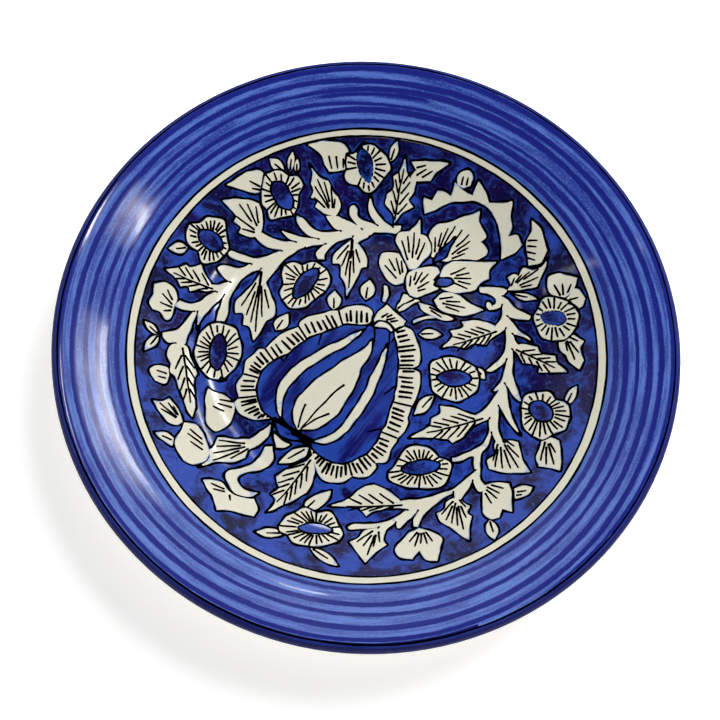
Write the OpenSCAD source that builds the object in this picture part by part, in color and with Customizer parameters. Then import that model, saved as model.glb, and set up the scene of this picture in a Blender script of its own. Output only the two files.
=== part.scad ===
// Hand painted ceramic serving plate.
//
// The plate is modelled as its potter builds it up: a thrown clay body on a turned foot ring,
// a white slip over the clay, painted coats fused with a clear glaze, and brush strokes over them.
// The coats meet face to face, so each one can be lifted off the one below.
// Millimetres, +Z up, the foot stands on z = 0 and the axis of the plate is the Z axis.

/* [Plate] */
// Diameter over the lip
plate_d = 270; // [240:5:300]
// Height of the middle of the well above the table
floor_h = 9; // [8.5:0.5:12]
// Thickness of the finished plate in the middle of the well
floor_t = 4.8; // [4:0.1:5.5]
// Thickness of the finished plate at the lip
lip_t = 6.5; // [5:0.1:7.5]
// Radius of the nearly flat part of the well, as a share of the plate's radius
well_share = 0.43; // [0.4:0.005:0.46]
// Slope that the floor of the well reaches where the cove starts
floor_slope = 3; // [1:0.5:4]
// Slope of the wall between well and rim
wall_slope = 28; // [24:1:30]
// Slope of the flat painted rim
rim_slope = 21; // [16:1:23]

/* [Foot ring] */
// Outer diameter of the foot ring
foot_d = 124; // [110:1:126]
// Width of the foot ring
foot_w = 6; // [4:0.5:8]
// Rounding of the edges that touch the table
foot_round = 1.5; // [0.5:0.1:1.9]

/* [Coats] */
// Thickness of the white slip on the clay
slip_t = 0.4; // [0.2:0.05:0.6]
// Thickness of the painted and glazed coat on the slip
coat_t = 0.3; // [0.2:0.05:0.5]
// Height of a brush stroke painted over a coat
stroke_t = 0.1; // [0.05:0.05:0.2]

/* [Bands] */
// Inner radius of the cream band, as a share of the plate's radius
cream_share = 0.752; // [0.74:0.002:0.76]
// Width of the cream band
cream_w = 2.8; // [2:0.1:4]
// Width of the black lines beside the cream band
line_w = 1.1; // [0.6:0.1:1.4]

/* [Painting] */
// Radius of the round flowers
flower_r = 9.5; // [8:0.5:10]
// Width of the vine stems
stem_w = 4.5; // [3:0.5:6]
// Width of the inked outlines
ink_w = 0.9; // [0.5:0.1:1.2]

/* [Hidden] */
STRIPES = ["rim_stripe_1", "rim_stripe_2", "rim_stripe_3",
           "rim_stripe_4", "rim_stripe_5", "rim_stripe_6"];
$fn = 96;

plate_r = plate_d / 2;
// Radii that were set on a plate of 270 mm follow the size of this one
k = plate_d / 270;

// --- Profile of the finished plate -------------------------------------------------------------
// A station is [radius, height, heading]. The heading is the direction of travel along the
// outline, so the outward normal of the surface there is [-sin(heading), cos(heading)].

function last(v) = v[len(v) - 1];
function reversed(v) = [for (i = [len(v) - 1:-1:0]) v[i]];

// Stations along an arc of radius r that turns from the heading of station s to heading a1
function arc_to(s, r, a1, steps) =
    let (side = a1 > s[2] ? 1 : -1)
    [for (i = [1:steps])
        let (a = s[2] + (a1 - s[2]) * i / steps)
        [s[0] + side * r * (sin(a) - sin(s[2])), s[1] + side * r * (cos(s[2]) - cos(a)), a]];

// The station at the end of a straight run that reaches radius r
function line_to(s, r) = [r, s[1] + (r - s[0]) * tan(s[2]), s[2]];

// The lip is three arcs whose radii are shares of its thickness
LIP_TOP = 0.43;
LIP_SIDE = 0.615;
LIP_UNDER = 0.277;
LIP_TOP_END = -45;
LIP_SIDE_END = -110;
lip_run = lip_t * (LIP_TOP * (sin(rim_slope) - sin(LIP_TOP_END)) + LIP_SIDE * (1 + sin(LIP_TOP_END)));

well_r = well_share * plate_r;
start = [0, floor_h, 0];
well = arc_to(start, well_r / sin(floor_slope), floor_slope, 4);
cove = arc_to(last(well), 70 * k, wall_slope, 10);
wall_end = line_to(last(cove), 108.5 * k);
bend = arc_to(wall_end, 34.4 * k, rim_slope, 5);
rim_end = line_to(last(bend), plate_r - lip_run);
face = concat([start], well, cove, [wall_end], bend, [rim_end]);

lip_over = arc_to(rim_end, LIP_TOP * lip_t, LIP_TOP_END, 6);
lip_outer = arc_to(last(lip_over), LIP_SIDE * lip_t, -90, 4);
lip_lower = arc_to(last(lip_outer), LIP_SIDE * lip_t, LIP_SIDE_END, 2);
lip_under = arc_to(last(lip_lower), LIP_UNDER * lip_t, rim_slope - 180, 4);

// The back runs parallel to the face, and the plate thickens evenly towards the lip
function thickness(r) = floor_t + (lip_t - floor_t) * r / rim_end[0];
back = [for (s = face)
    let (t = thickness(s[0]))
    [s[0] + t * sin(s[2]), s[1] - t * cos(s[2]), s[2] - 180]];

// The point of a station at a depth below the finished surface
function inset(s, depth) = [s[0] + depth * sin(s[2]), s[1] - depth * cos(s[2])];

// The station of outline v at radius r, for an outline that runs outwards
function at(v, r) =
    [for (i = [1:len(v) - 1])
        if (v[i - 1][0] <= r && r <= v[i][0])
            let (f = (r - v[i - 1][0]) / (v[i][0] - v[i - 1][0]))
            v[i - 1] + f * (v[i] - v[i - 1])][0];

// The stretch of outline v between two radii
function cut(v, r1, r2) = concat([at(v, r1)], [for (s = v) if (s[0] > r1 && s[0] < r2) s], [at(v, r2)]);

// A coat between two depths along a list of stations, turned about the axis
module coat(stations, depth1, depth2) {
    rotate_extrude()
        polygon(concat([for (s = stations) inset(s, depth1)],
                       [for (s = reversed(stations)) inset(s, depth2)]));
}

// --- Radii of the bands ------------------------------------------------------------------------
cream_r1 = cream_share * plate_r;
cream_r2 = cream_r1 + cream_w;
ground_r = cream_r1 - line_w;
wash_r1 = cream_r2 + line_w;
wash_r2 = rim_end[0] - 0.2 * k;
foot_r2 = foot_d / 2;
foot_r1 = foot_r2 - foot_w;
clay_depth = slip_t + coat_t;

// Inner and outer radius of each brushed stripe of the rim
STRIPE_RADII = [[107.0, 109.2], [111.2, 113.4], [115.8, 117.2], [120.2, 122.4], [124.8, 127.2], [129.2, 130.3]];
function stripe_radii(i) = STRIPE_RADII[i] * k;

// --- Clay --------------------------------------------------------------------------------------
module clay_body() {
    outline = concat(face, lip_over, lip_outer, lip_lower, lip_under, reversed(back));
    color("#c9b08e") rotate_extrude() polygon([for (s = outline) inset(s, clay_depth)]);
}

module foot_ring() {
    top = [for (s = reversed(cut(back, foot_r1, foot_r2))) inset(s, clay_depth)];
    inner_edge = [for (a = [180:15:270]) [foot_r1 + foot_round * (1 + cos(a)), foot_round * (1 + sin(a))]];
    outer_edge = [for (a = [270:15:360]) [foot_r2 - foot_round * (1 - cos(a)), foot_round * (1 + sin(a))]];
    color("#c9b08e") rotate_extrude() polygon(concat(inner_edge, outer_edge, top));
}

// --- Slip and glaze ----------------------------------------------------------------------------
module face_slip() {
    color("#efe9d6") coat(concat(face, lip_over, lip_outer), coat_t, clay_depth);
}

lower_side = concat([last(lip_outer)], lip_lower, lip_under, reversed(cut(back, foot_r2, last(back)[0])));

module back_slip() {
    color("#e9e2cf") coat(lower_side, coat_t, clay_depth);
}

module foot_well_slip() {
    color("#e9e2cf") coat(cut(back, 0, foot_r1), coat_t, clay_depth);
}

module lip_glaze() {
    color("#141650") coat(concat(cut(face, wash_r2, rim_end[0]), lip_over, lip_outer), 0, coat_t);
}

module back_glaze() {
    color("#ece7d8") coat(lower_side, 0, coat_t);
}

module foot_well_glaze() {
    color("#ece7d8") coat(cut(back, 0, foot_r1), 0, coat_t);
}

// --- Painted bands -----------------------------------------------------------------------------
module rim_wash() {
    color("#5f79c0") coat(cut(face, wash_r1, wash_r2), 0, coat_t);
}

module rim_stripe(i) {
    color("#27349a") coat(cut(face, stripe_radii(i)[0], stripe_radii(i)[1]), -stroke_t, 0);
}

module lip_line() {
    color("#4a2b52") coat(cut(face, wash_r2 - 0.5 * k, wash_r2), -stroke_t, 0);
}

module band_line_outer() {
    color("#1a1a30") coat(cut(face, cream_r2, wash_r1), 0, coat_t);
}

module cream_band() {
    color("#e6e3cf") coat(cut(face, cream_r1, cream_r2), 0, coat_t);
}

module band_line_inner() {
    color("#1a1a30") coat(cut(face, ground_r, cream_r1), 0, coat_t);
}

// --- Painting in the well ----------------------------------------------------------------------
// Sides of the large circles that cut the lenses
LENS_SIDES = 720;

// A lens from two equal circles: the plain shape of a leaf, a petal or a bud
module lens(length, width) {
    r = (length * length + width * width) / (4 * width);
    intersection() {
        translate([0, r - width / 2]) circle(r, $fn = LENS_SIDES);
        translate([0, width / 2 - r]) circle(r, $fn = LENS_SIDES);
    }
}

// A curved band that turns from angle a1 to a2 about the origin
module arc_band(r, width, a1, a2, steps = 14) {
    function rim_points(radius) =
        [for (i = [0:steps]) let (a = a1 + (a2 - a1) * i / steps) radius * [cos(a), sin(a)]];
    polygon(concat(rim_points(r + width / 2), reversed(rim_points(r - width / 2))));
}

// [centre, turn of the oval eye]
FLOWERS = [[[-10, 88.4], 80], [[-46.1, 70.9], -60], [[-76.1, 43.5], -25], [[-31.3, 31.5], 60], [[-64.5, -6], 85],
           [[40.4, -3.7], 5], [[81.2, 26.7], 35], [[78.3, -18], 40], [[28.3, -47.2], 20], [[-13.1, -81.4], 5]];
// [centre, turn, length, width]
LEAVES = [[[-24.1, 75.4], -50, 26, 12], [[7, 81.2], 80, 26, 10], [[-60.2, 57.9], -35, 24, 12], [[-12.1, 43.6], 90, 28, 13],
          [[-50.5, 19.4], 85, 30, 14], [[-83.2, 26.5], -20, 22, 8], [[-77.4, -19], -60, 36, 11],
          [[-84.1, -36.9], -35, 20, 8], [[-83.2, 13.8], 20, 20, 12], [[-55.3, -50.8], 15, 22, 10],
          [[-25.2, -61.5], 60, 28, 13], [[12.1, -64.4], -5, 24, 12], [[9, -83.5], 45, 18, 10], [[45.2, -68.3], 75, 20, 12],
          [[66.4, -35.8], -50, 24, 12], [[82.1, -37.8], 80, 20, 10], [[42.4, -26], 25, 32, 12],
          [[48.4, 15.4], 20, 30, 11], [[75.4, 4.4], -30, 26, 10], [[90.1, 10.2], -55, 20, 8],
          [[68.3, 42.2], 60, 24, 13], [[70, 60.2], -65, 24, 10], [[-24, 91.1], -10, 20, 11], [[62.1, -61.6], 60, 18, 12],
          [[-67.2, -49.3], -40, 20, 14], [[-50, -75.8], -15, 22, 12], [[30, -83.7], 20, 18, 14]];
// [centre, radius, from, to] of each arc of the two vines
VINES = [[[-20, 9], 52, 95, 165], [[-14, 11], 58, 172, 205], [[10, -12], 52, -62, 38], [[18, -90.5], 34, 58, 112]];

// The fruit is an oval whose tip points up and to the right
FRUIT_AT = [-14, -17];
FRUIT_TURN = 57;
FRUIT_L = 92;
FRUIT_W = 76;
BORDER_W = 8.5;

module fruit_outline(inset_by) {
    translate(k * FRUIT_AT) rotate(FRUIT_TURN) lens(k * (FRUIT_L - 2 * inset_by), k * (FRUIT_W - 2 * inset_by));
}

module border_shape() {
    difference() {
        fruit_outline(0);
        fruit_outline(BORDER_W);
    }
}

// Cream bud and crescents inside the fruit: [shift across the fruit, length, width]
CRESCENTS = [[0, 62, 15], [15, 60, 5.5], [-15, 60, 5.5]];

module crescent_shapes() {
    for (c = CRESCENTS)
        translate(k * FRUIT_AT) rotate(FRUIT_TURN) translate([0, k * c[0]]) lens(k * c[1], k * c[2]);
}

module flower_shapes() {
    for (f = FLOWERS)
        translate(k * f[0])
            difference() {
                circle(k * flower_r);
                rotate(f[1]) lens(k * flower_r, k * flower_r * 0.6);
            }
}

module leaf_shapes() {
    for (f = LEAVES) translate(k * f[0]) rotate(f[1]) lens(k * f[2], k * f[3]);
}

module vine_shapes() {
    for (v = VINES) translate(k * v[0]) arc_band(k * v[1], k * stem_w, v[2], v[3]);
}

// Large half flower at the upper right, with a fan of pointed petals round its heart
CROWN_AT = [33, 60];
CROWN_PETALS = 5;
module crown_shapes() {
    translate(k * CROWN_AT) rotate(52) lens(k * 40, k * 17);
    for (i = [0:CROWN_PETALS - 1])
        translate(k * (CROWN_AT - [2, 4])) rotate(-5 + 26 * i) translate([k * 28, 0]) rotate(90) lens(k * 12, k * 6);
}

// Cuts the coat of the well to the shapes given as children
module painted(depth1, depth2) {
    intersection() {
        coat(cut(face, 0, ground_r), depth1, depth2);
        linear_extrude(height = 40) children();
    }
}

module all_shapes() {
    border_shape();
    crescent_shapes();
    flower_shapes();
    leaf_shapes();
    vine_shapes();
    crown_shapes();
}

module well_cobalt() {
    color("#232f86")
        difference() {
            coat(cut(face, 0, ground_r), 0, coat_t);
            linear_extrude(height = 40) all_shapes();
        }
}

module fruit_border() {
    color("#e6e3cf") painted(0, coat_t) border_shape();
}

module fruit_crescents() {
    color("#e6e3cf") painted(0, coat_t) crescent_shapes();
}

module vines() {
    color("#e6e3cf")
        difference() {
            painted(0, coat_t) vine_shapes();
            linear_extrude(height = 40) {
                border_shape();
                flower_shapes();
                leaf_shapes();
            }
        }
}

module leaves() {
    color("#e6e3cf") painted(0, coat_t) leaf_shapes();
}

module flowers() {
    color("#e6e3cf") painted(0, coat_t) flower_shapes();
}

module crown_flower() {
    color("#e6e3cf") painted(0, coat_t) crown_shapes();
}

// Inked rings round the flowers, brushed over the coats
module flower_ink() {
    color("#1a1a30")
        painted(-stroke_t, 0)
            for (f = FLOWERS)
                translate(k * f[0])
                    difference() {
                        circle(k * flower_r + ink_w / 2);
                        circle(k * flower_r - ink_w / 2);
                    }
}

clay_body();
foot_ring();
face_slip();
back_slip();
foot_well_slip();
lip_glaze();
back_glaze();
foot_well_glaze();
rim_wash();
for (i = [0:len(STRIPES) - 1]) rim_stripe(i);
lip_line();
band_line_outer();
cream_band();
band_line_inner();
well_cobalt();
fruit_border();
fruit_crescents();
vines();
leaves();
flowers();
crown_flower();
flower_ink();
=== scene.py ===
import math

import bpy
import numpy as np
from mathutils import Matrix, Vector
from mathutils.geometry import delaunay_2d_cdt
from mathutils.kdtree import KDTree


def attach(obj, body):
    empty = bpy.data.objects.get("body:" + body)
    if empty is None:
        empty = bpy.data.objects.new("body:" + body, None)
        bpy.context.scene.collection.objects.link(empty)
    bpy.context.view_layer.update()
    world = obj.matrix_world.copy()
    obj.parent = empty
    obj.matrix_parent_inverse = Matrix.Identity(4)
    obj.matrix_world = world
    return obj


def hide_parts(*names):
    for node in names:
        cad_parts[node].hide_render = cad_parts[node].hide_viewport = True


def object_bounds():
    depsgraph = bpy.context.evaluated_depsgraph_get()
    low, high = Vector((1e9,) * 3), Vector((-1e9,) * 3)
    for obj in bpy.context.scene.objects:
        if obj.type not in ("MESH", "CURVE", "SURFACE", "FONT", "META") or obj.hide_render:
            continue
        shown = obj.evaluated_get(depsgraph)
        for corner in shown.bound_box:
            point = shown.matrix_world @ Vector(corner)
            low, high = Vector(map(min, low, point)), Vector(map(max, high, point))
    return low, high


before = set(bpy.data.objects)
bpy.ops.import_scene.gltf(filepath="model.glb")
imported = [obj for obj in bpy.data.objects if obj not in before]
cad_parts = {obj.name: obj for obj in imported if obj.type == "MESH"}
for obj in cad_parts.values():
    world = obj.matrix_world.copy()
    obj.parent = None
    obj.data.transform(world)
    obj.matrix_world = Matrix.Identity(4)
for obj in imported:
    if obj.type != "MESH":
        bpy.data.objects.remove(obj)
cad_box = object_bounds()

# Hand painted ceramic plate.
#
# The clay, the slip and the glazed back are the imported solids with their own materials. The painting on
# the face is laid over them as thin films and brush strokes, each one a closed solid that follows the
# profile of the face. Lengths are millimetres in the plate's own frame, but for those of the floor, the
# lights and the camera, which are metres. The plate's axis is the Z axis, and angles run from +X
# towards +Y.

MM = 0.001
rng = np.random.default_rng(20)

COAT = 0.3            # thickness of the painted coat on the slip
GROUND_R = 101.4      # edge of the cobalt ground, under the inner ring line
RING_R = 102.6        # middle of the cream ring
WASH_R = (102.8, 130.9)           # inner and outer edge of the blue wash on the rim
LIP_LINE_R = 132.05   # the brown line just inside the lip
INK = 0.98            # width of an outline


# --- Profile of the face -------------------------------------------------------------------------------
def top_stations(node):
    """Radius and height of the corners of a turned solid's upper side."""
    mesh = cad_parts[node].data
    found = {}
    for poly in mesh.polygons:
        if poly.normal.z > 0.02:
            for v in poly.vertices:
                x, y, z = mesh.vertices[v].co / MM
                r = round(math.hypot(x, y), 2)
                found[r] = max(z, found.get(r, z))
    return np.array(sorted(found.items()))


def hermite(x, xs, ys, slopes):
    """Smooth curve through stations whose slopes are known."""
    x = np.clip(x, xs[0], xs[-1])
    i = np.clip(np.searchsorted(xs, x) - 1, 0, len(xs) - 2)
    h = xs[i + 1] - xs[i]
    t = (x - xs[i]) / h
    a = (1 + 2 * t) * (1 - t) ** 2 * ys[i] + t * (1 - t) ** 2 * h * slopes[i]
    return a + t * t * (3 - 2 * t) * ys[i + 1] + t * t * (t - 1) * h * slopes[i + 1]


slip = top_stations("face_slip")
tilt = np.gradient(slip[:, 1], slip[:, 0])
across = 1 / np.sqrt(1 + tilt ** 2)
FACE_R = np.maximum(slip[:, 0] - COAT * tilt * across, 0)
FACE_Z = slip[:, 1] + COAT * across
FACE_SLOPE = np.gradient(FACE_Z, FACE_R)


def drape(xy, height):
    """Points on the face above plan points, lifted along its normal, and the normals there."""
    r = np.hypot(xy[:, 0], xy[:, 1])
    slope = np.interp(r, FACE_R, FACE_SLOPE)
    z = hermite(r, FACE_R, FACE_Z, FACE_SLOPE)
    out = xy / np.maximum(r, 1e-6)[:, None]
    normal = np.column_stack([-out * slope[:, None], np.ones(len(xy))])
    normal /= np.linalg.norm(normal, axis=1)[:, None]
    return np.column_stack([xy, z]) + normal * np.broadcast_to(height, len(xy))[:, None], normal


# --- Making pieces -------------------------------------------------------------------------------------
def make(name, films, material, stands_for=()):
    """One piece from films, each a tuple of points, normals, faces and an edge value per point."""
    points, normals, faces, edges, start = [], [], [], [], 0
    for p, n, f, e in films:
        points.append(p)
        normals.append(n)
        edges.append(e)
        faces += [tuple(i + start for i in face) for face in f]
        start += len(p)
    mesh = bpy.data.meshes.new(name)
    mesh.from_pydata((np.vstack(points) * MM).tolist(), [], faces)
    mesh.update()
    mesh.polygons.foreach_set("use_smooth", [True] * len(mesh.polygons))
    mesh.normals_split_custom_set_from_vertices(np.vstack(normals).tolist())
    mesh.attributes.new("edge_mm", "FLOAT", "POINT").data.foreach_set("value", np.concatenate(edges))
    piece = bpy.data.objects.new(name, mesh)
    bpy.context.scene.collection.objects.link(piece)
    mesh.materials.append(material)
    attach(piece, "root")
    if stands_for:
        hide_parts(*stands_for)
    return piece


# --- Lines and outlines --------------------------------------------------------------------------------
def curve(points, step=0.5, closed=False):
    """Even steps along a smooth curve through points. A point with a third value is a sharp corner."""
    xy = [np.array(p[:2], float) for p in points]
    sharp = [len(p) > 2 for p in points]
    n = len(xy)
    path = []
    for i in range(n if closed else n - 1):
        a, b = xy[i], xy[(i + 1) % n]
        no_before = sharp[i] or (not closed and i == 0)
        no_after = sharp[(i + 1) % n] or (not closed and i == n - 2)
        before = 2 * a - b if no_before else xy[i - 1]
        after = 2 * b - a if no_after else xy[(i + 2) % n]
        length = np.linalg.norm(b - a)
        into = (b - before) / (np.linalg.norm(a - before) + length) * length
        out = (after - a) / (np.linalg.norm(after - b) + length) * length
        t = np.linspace(0, 1, max(2, int(length / step) + 1), endpoint=False)[:, None]
        path.append((2 * t ** 3 - 3 * t ** 2 + 1) * a + (t ** 3 - 2 * t ** 2 + t) * into
                    + (3 * t ** 2 - 2 * t ** 3) * b + (t ** 3 - t ** 2) * out)
    if not closed:
        path.append(xy[-1][None])
    return np.vstack(path)


# Slow waves over the plate that move every line a little, as an unsteady hand does
WAVES = [(rng.uniform(0, math.tau), rng.uniform(0, math.tau), math.tau / w, a)
         for w, a in ((6, 0.05), (9, 0.07), (14, 0.1)) for _ in range(2)]


def unsteady(xy, amount=1.0):
    """Points moved by the waves of the hand."""
    moved = xy.copy()
    for turn, phase, k, size in WAVES:
        along = xy @ np.array([math.cos(turn), math.sin(turn)]) * k + phase
        moved[:, 0] += amount * size * np.sin(along)
        moved[:, 1] += amount * size * np.cos(along * 1.13)
    return moved


def run_of(path):
    """Length along a path from its start to each of its points."""
    return np.concatenate([[0], np.cumsum(np.linalg.norm(np.diff(path, axis=0), axis=1))])


def point_at(path, run, s):
    """The point of a path at a length from its start."""
    return np.array([np.interp(s, run, path[:, k]) for k in (0, 1)])


def unit(degrees):
    """The plan direction at an angle."""
    return np.array([math.cos(math.radians(degrees)), math.sin(math.radians(degrees))])


def sideways(path, closed):
    """Unit normals of a path, to its left."""
    if closed:
        d = np.roll(path, -1, 0) - np.roll(path, 1, 0)
    else:
        d = np.gradient(path, axis=0)
    d /= np.maximum(np.linalg.norm(d, axis=1), 1e-9)[:, None]
    return np.column_stack([-d[:, 1], d[:, 0]])


def inside(outline, xy):
    """Which points lie inside a closed outline."""
    a, b = outline, np.roll(outline, -1, 0)
    y = xy[:, 1][:, None]
    spans = (a[:, 1] > y) != (b[:, 1] > y)
    dy = np.where(b[:, 1] == a[:, 1], 1e-9, b[:, 1] - a[:, 1])
    cross = a[:, 0] + (y - a[:, 1]) * (b[:, 0] - a[:, 0]) / dy
    return (spans & (xy[:, 0][:, None] < cross)).sum(1) % 2 == 1


def tree_of(points):
    """A search tree over plan points."""
    tree = KDTree(len(points))
    for i, p in enumerate(points):
        tree.insert((p[0], p[1], 0), i)
    tree.balance()
    return tree


def gap_to(tree, xy, most=6.0):
    """Distance from each plan point to the nearest one in the tree, up to a largest value."""
    return np.array([min(tree.find((x, y, 0))[2], most) for x, y in xy])


# --- Films and strokes ---------------------------------------------------------------------------------
FILM = 0.05           # a film reaches this far down into what it lies on
RING_IN = 0.45        # a ring of points this far inside an outline keeps the film even beside it
RING_CLEAR = 0.38     # least distance of that ring's points from the outline
GRID_CLEAR = 1.0      # least distance of the other points from the outline


def film(outline, top, step=1.4, rim=0.03):
    """A closed film of paint inside an outline. The edge value is the distance to its edge."""
    tree = tree_of(outline)
    ring = outline - sideways(outline, True) * RING_IN * (1 if area(outline) < 0 else -1)
    lo, hi = outline.min(0), outline.max(0)
    gx, gy = np.meshgrid(np.arange(lo[0], hi[0], step), np.arange(lo[1], hi[1], step * 0.87))
    gx = gx + (np.arange(gx.shape[0]) % 2 * step / 2)[:, None]
    grid = np.column_stack([gx.ravel(), gy.ravel()])
    grid = grid[inside(outline, grid)] if len(grid) else grid
    grid = grid[gap_to(tree, grid) > GRID_CLEAR] if len(grid) else grid
    ring = ring[inside(outline, ring)]
    ring = ring[gap_to(tree, ring) > RING_CLEAR][::2] if len(ring) else ring
    n = len(outline)
    given = [Vector(p) for p in np.vstack([outline, ring, grid])]
    loop = [(i, (i + 1) % n) for i in range(n)]
    got = delaunay_2d_cdt(given, loop, [], 1, 1e-5)
    xy = np.array([tuple(v) for v in got[0]])
    faces = [tuple(f) for f in got[2]]
    used = {}
    for f in faces:
        for a, b in zip(f, f[1:] + f[:1]):
            used[frozenset((a, b))] = used.get(frozenset((a, b)), 0) + 1
    walls = [(a, b) for f in faces for a, b in zip(f, f[1:] + f[:1]) if used[frozenset((a, b))] == 1]
    border = np.zeros(len(xy), bool)
    border[[v for wall in walls for v in wall]] = True
    edge = np.where(border, 0, gap_to(tree, xy))
    upper, normals = drape(xy, np.where(border, top - rim, top))
    lower, _ = drape(xy, top - rim - FILM)
    m = len(xy)
    faces += [tuple(v + m for v in reversed(f)) for f in faces] + [(b, a, a + m, b + m) for a, b in walls]
    return np.vstack([upper, lower]), np.vstack([normals, -normals]), faces, np.concatenate([edge, edge])


def area(outline):
    """Area inside an outline, negative where it runs clockwise."""
    x, y = outline.T
    return 0.5 * np.sum(x * np.roll(y, -1) - y * np.roll(x, -1))


# a stroke's section: places across it as shares of the half width, their height, and their edge value
SECTION = np.array([-1, -0.62, 0, 0.62, 1])
SECTION_H = np.array([0, 0.8, 1, 0.8, 0])
SECTION_EDGE = np.array([1, 0.5, 0, 0.5, 1])


def ribbon(path, half, top, closed=False, rim=0.025):
    """A closed stroke with a half width at each point. Edge value 1 at its sides, 0 in the middle."""
    n, w = len(path), len(SECTION)
    side = sideways(path, closed)
    xy = (path[:, None] + side[:, None] * (half[:, None] * SECTION)[:, :, None]).reshape(-1, 2)
    height = np.tile(top - rim + rim * SECTION_H, n)
    upper, normals = drape(xy, height)
    lower, low_normals = drape(path, top - rim - FILM)
    faces = []
    for i in range(n if closed else n - 1):
        a, b = i * w, (i + 1) % n * w
        c, d = w * n + i, w * n + (i + 1) % n
        faces += [(a + k, b + k, b + k + 1, a + k + 1)[::-1] for k in range(w - 1)]
        faces += [(a, c, d, b)[::-1], (c, a + w - 1, b + w - 1, d)[::-1]]
    if not closed:
        e = w * (n - 1)
        faces += [(*range(w), w * n)[::-1], (*range(e, e + w), e + w + n - 1)]
    edge = np.concatenate([np.tile(SECTION_EDGE, n), np.ones(n)])
    return np.vstack([upper, lower]), np.vstack([normals, -low_normals]), faces, edge


def brush(points, width, top, tail=0.75, start=1.1, shake=0.5):
    """An ink stroke with round ends, pressed a little harder at its start and thinner towards its end."""
    path = unsteady(curve(points, 0.4), shake)
    gone = run_of(path)
    length = gone[-1]
    h = width / 2
    ends = np.array([0, 0.03, 0.12, 0.3]) * width
    s = np.unique(np.concatenate([ends, np.arange(0.5 * width, max(length - 0.5 * width, 0.6 * width), 0.5),
                                  length - ends]))
    s = s[(s >= 0) & (s <= length)]
    path = point_at(path, gone, s).T
    t = s / length
    press = start + (1 - start) * np.clip(s / 1.5, 0, 1)
    press = press * (1 - (1 - tail) * t ** 2) * (1 + 0.07 * np.sin(s * 1.9 + path[:, 0]))
    near = np.clip(np.minimum(s, length - s) / h, 0, 1)
    half = np.maximum(h * press * np.sqrt(1 - (1 - near) ** 2), 0.03)
    return ribbon(path, half, top)


SWELL = 9             # a line round an outline swells and thins about once in this length


def loop_line(outline, width, top):
    """An ink line round a closed outline, thicker and thinner as the hand goes."""
    gone = np.cumsum(np.linalg.norm(np.diff(outline, axis=0, append=outline[:1]), axis=1))
    turns = max(1, round(gone[-1] / SWELL))
    press = 1 + 0.2 * np.sin(gone / gone[-1] * math.tau * turns + outline[0, 0])
    press += 0.10 * np.sin(gone / gone[-1] * math.tau * (2 * turns + 1) + outline[0, 1])
    return ribbon(outline, width / 2 * press, top, closed=True)


# --- The painting, gathered by kind --------------------------------------------------------------------
LEVEL = 0.03          # each level of the painting lies this much above the one below
INK_TOP = 0.14        # top of the lines that are drawn last
STEP_UP = 0.001       # neighbours differ by this much, so that no two of them share a surface
UNDER = 0.016         # the ink line round a shape lies this much below the shape's own top
PETAL_LINE = 0.96     # width of the strokes in a petal
paint = {name: [] for name in ("leaf", "flower", "vine", "fruit", "crown", "eye", "fruit_blue", "outline",
                               "stroke", "hatch")}
motif_edges = []      # outlines of the cream shapes, for the ground's colour beside them


def lay(kind, outline, level):
    """A painted shape with an ink line round it that shapes of a higher or equal level cover."""
    top = LEVEL * (level + 1) + STEP_UP * (len(motif_edges) % 12)
    paint[kind].append(film(outline, top))
    paint["outline"].append(loop_line(outline, INK * 2, top - UNDER))
    motif_edges.append(outline)


def shape(kind, points, level=0, step=0.5):
    """A painted shape whose outline is drawn by hand through the points."""
    lay(kind, unsteady(curve(points, step, closed=True)), level)


def line(*points, width=INK, kind="stroke", **options):
    """One ink stroke through the points."""
    paint[kind].append(brush(points, width, INK_TOP + STEP_UP * (len(paint[kind]) % 9), **options))


def hatch(inner, outer, start_share, end_share, swell=None, **options):
    """A hatching stroke on the way from inner to outer. Its ends, and its swell if any, are random."""
    start, end = (inner + rng.uniform(*share) * (outer - inner) for share in (start_share, end_share))
    if swell:
        options["width"] = INK * rng.uniform(*swell)
    line(start, end, kind="hatch", **options)


def stem(points, widths, level=0):
    """A tapering shoot along points, with its width at each of them."""
    path = curve(points, 0.8)
    spot = np.linspace(0, 1, len(path))
    knots = np.linspace(0, 1, len(widths))
    half = np.interp(spot, knots, widths) / 2
    side = sideways(path, False) * half[:, None]
    rim = np.vstack([path + side, (path - side)[::-1]])
    lay("vine", unsteady(rim), level)


def rays(base, *ends, near=0.3, **options):
    """Straight strokes that spread from a point, every other one starting a little further out."""
    b = np.array(base, float)
    for i, end in enumerate(ends):
        e = np.array(end, float)
        line(b + (e - b) * (near + 0.04 + 0.14 * (i % 2) + rng.uniform(-0.04, 0.04)), e, **options)


def ribs(base, tip, left, right, pairs, start=0.1, reach=0.24):
    """A midrib with pairs of side strokes, their ends at the given distances to each side."""
    b, e = np.array(base, float), np.array(tip, float)
    u = (e - b) / np.linalg.norm(e - b)
    n = np.array([-u[1], u[0]])
    line(b, b + 0.5 * (e - b) + 0.3 * n, b + 0.86 * (e - b), tail=0.7)
    for j in range(pairs):
        t = start + (0.84 - reach - start) * (j + rng.uniform(-0.1, 0.1)) / max(pairs - 1, 1)
        narrow = 1 - 0.45 * (t / 0.8) ** 2
        for side in (left, -right):
            near_rib = b + (e - b) * (t + 0.02) + 0.1 * side * n
            near_edge = b + (e - b) * (t + reach) + 0.72 * side * narrow * n
            line(near_rib, near_edge, kind="hatch")


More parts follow.
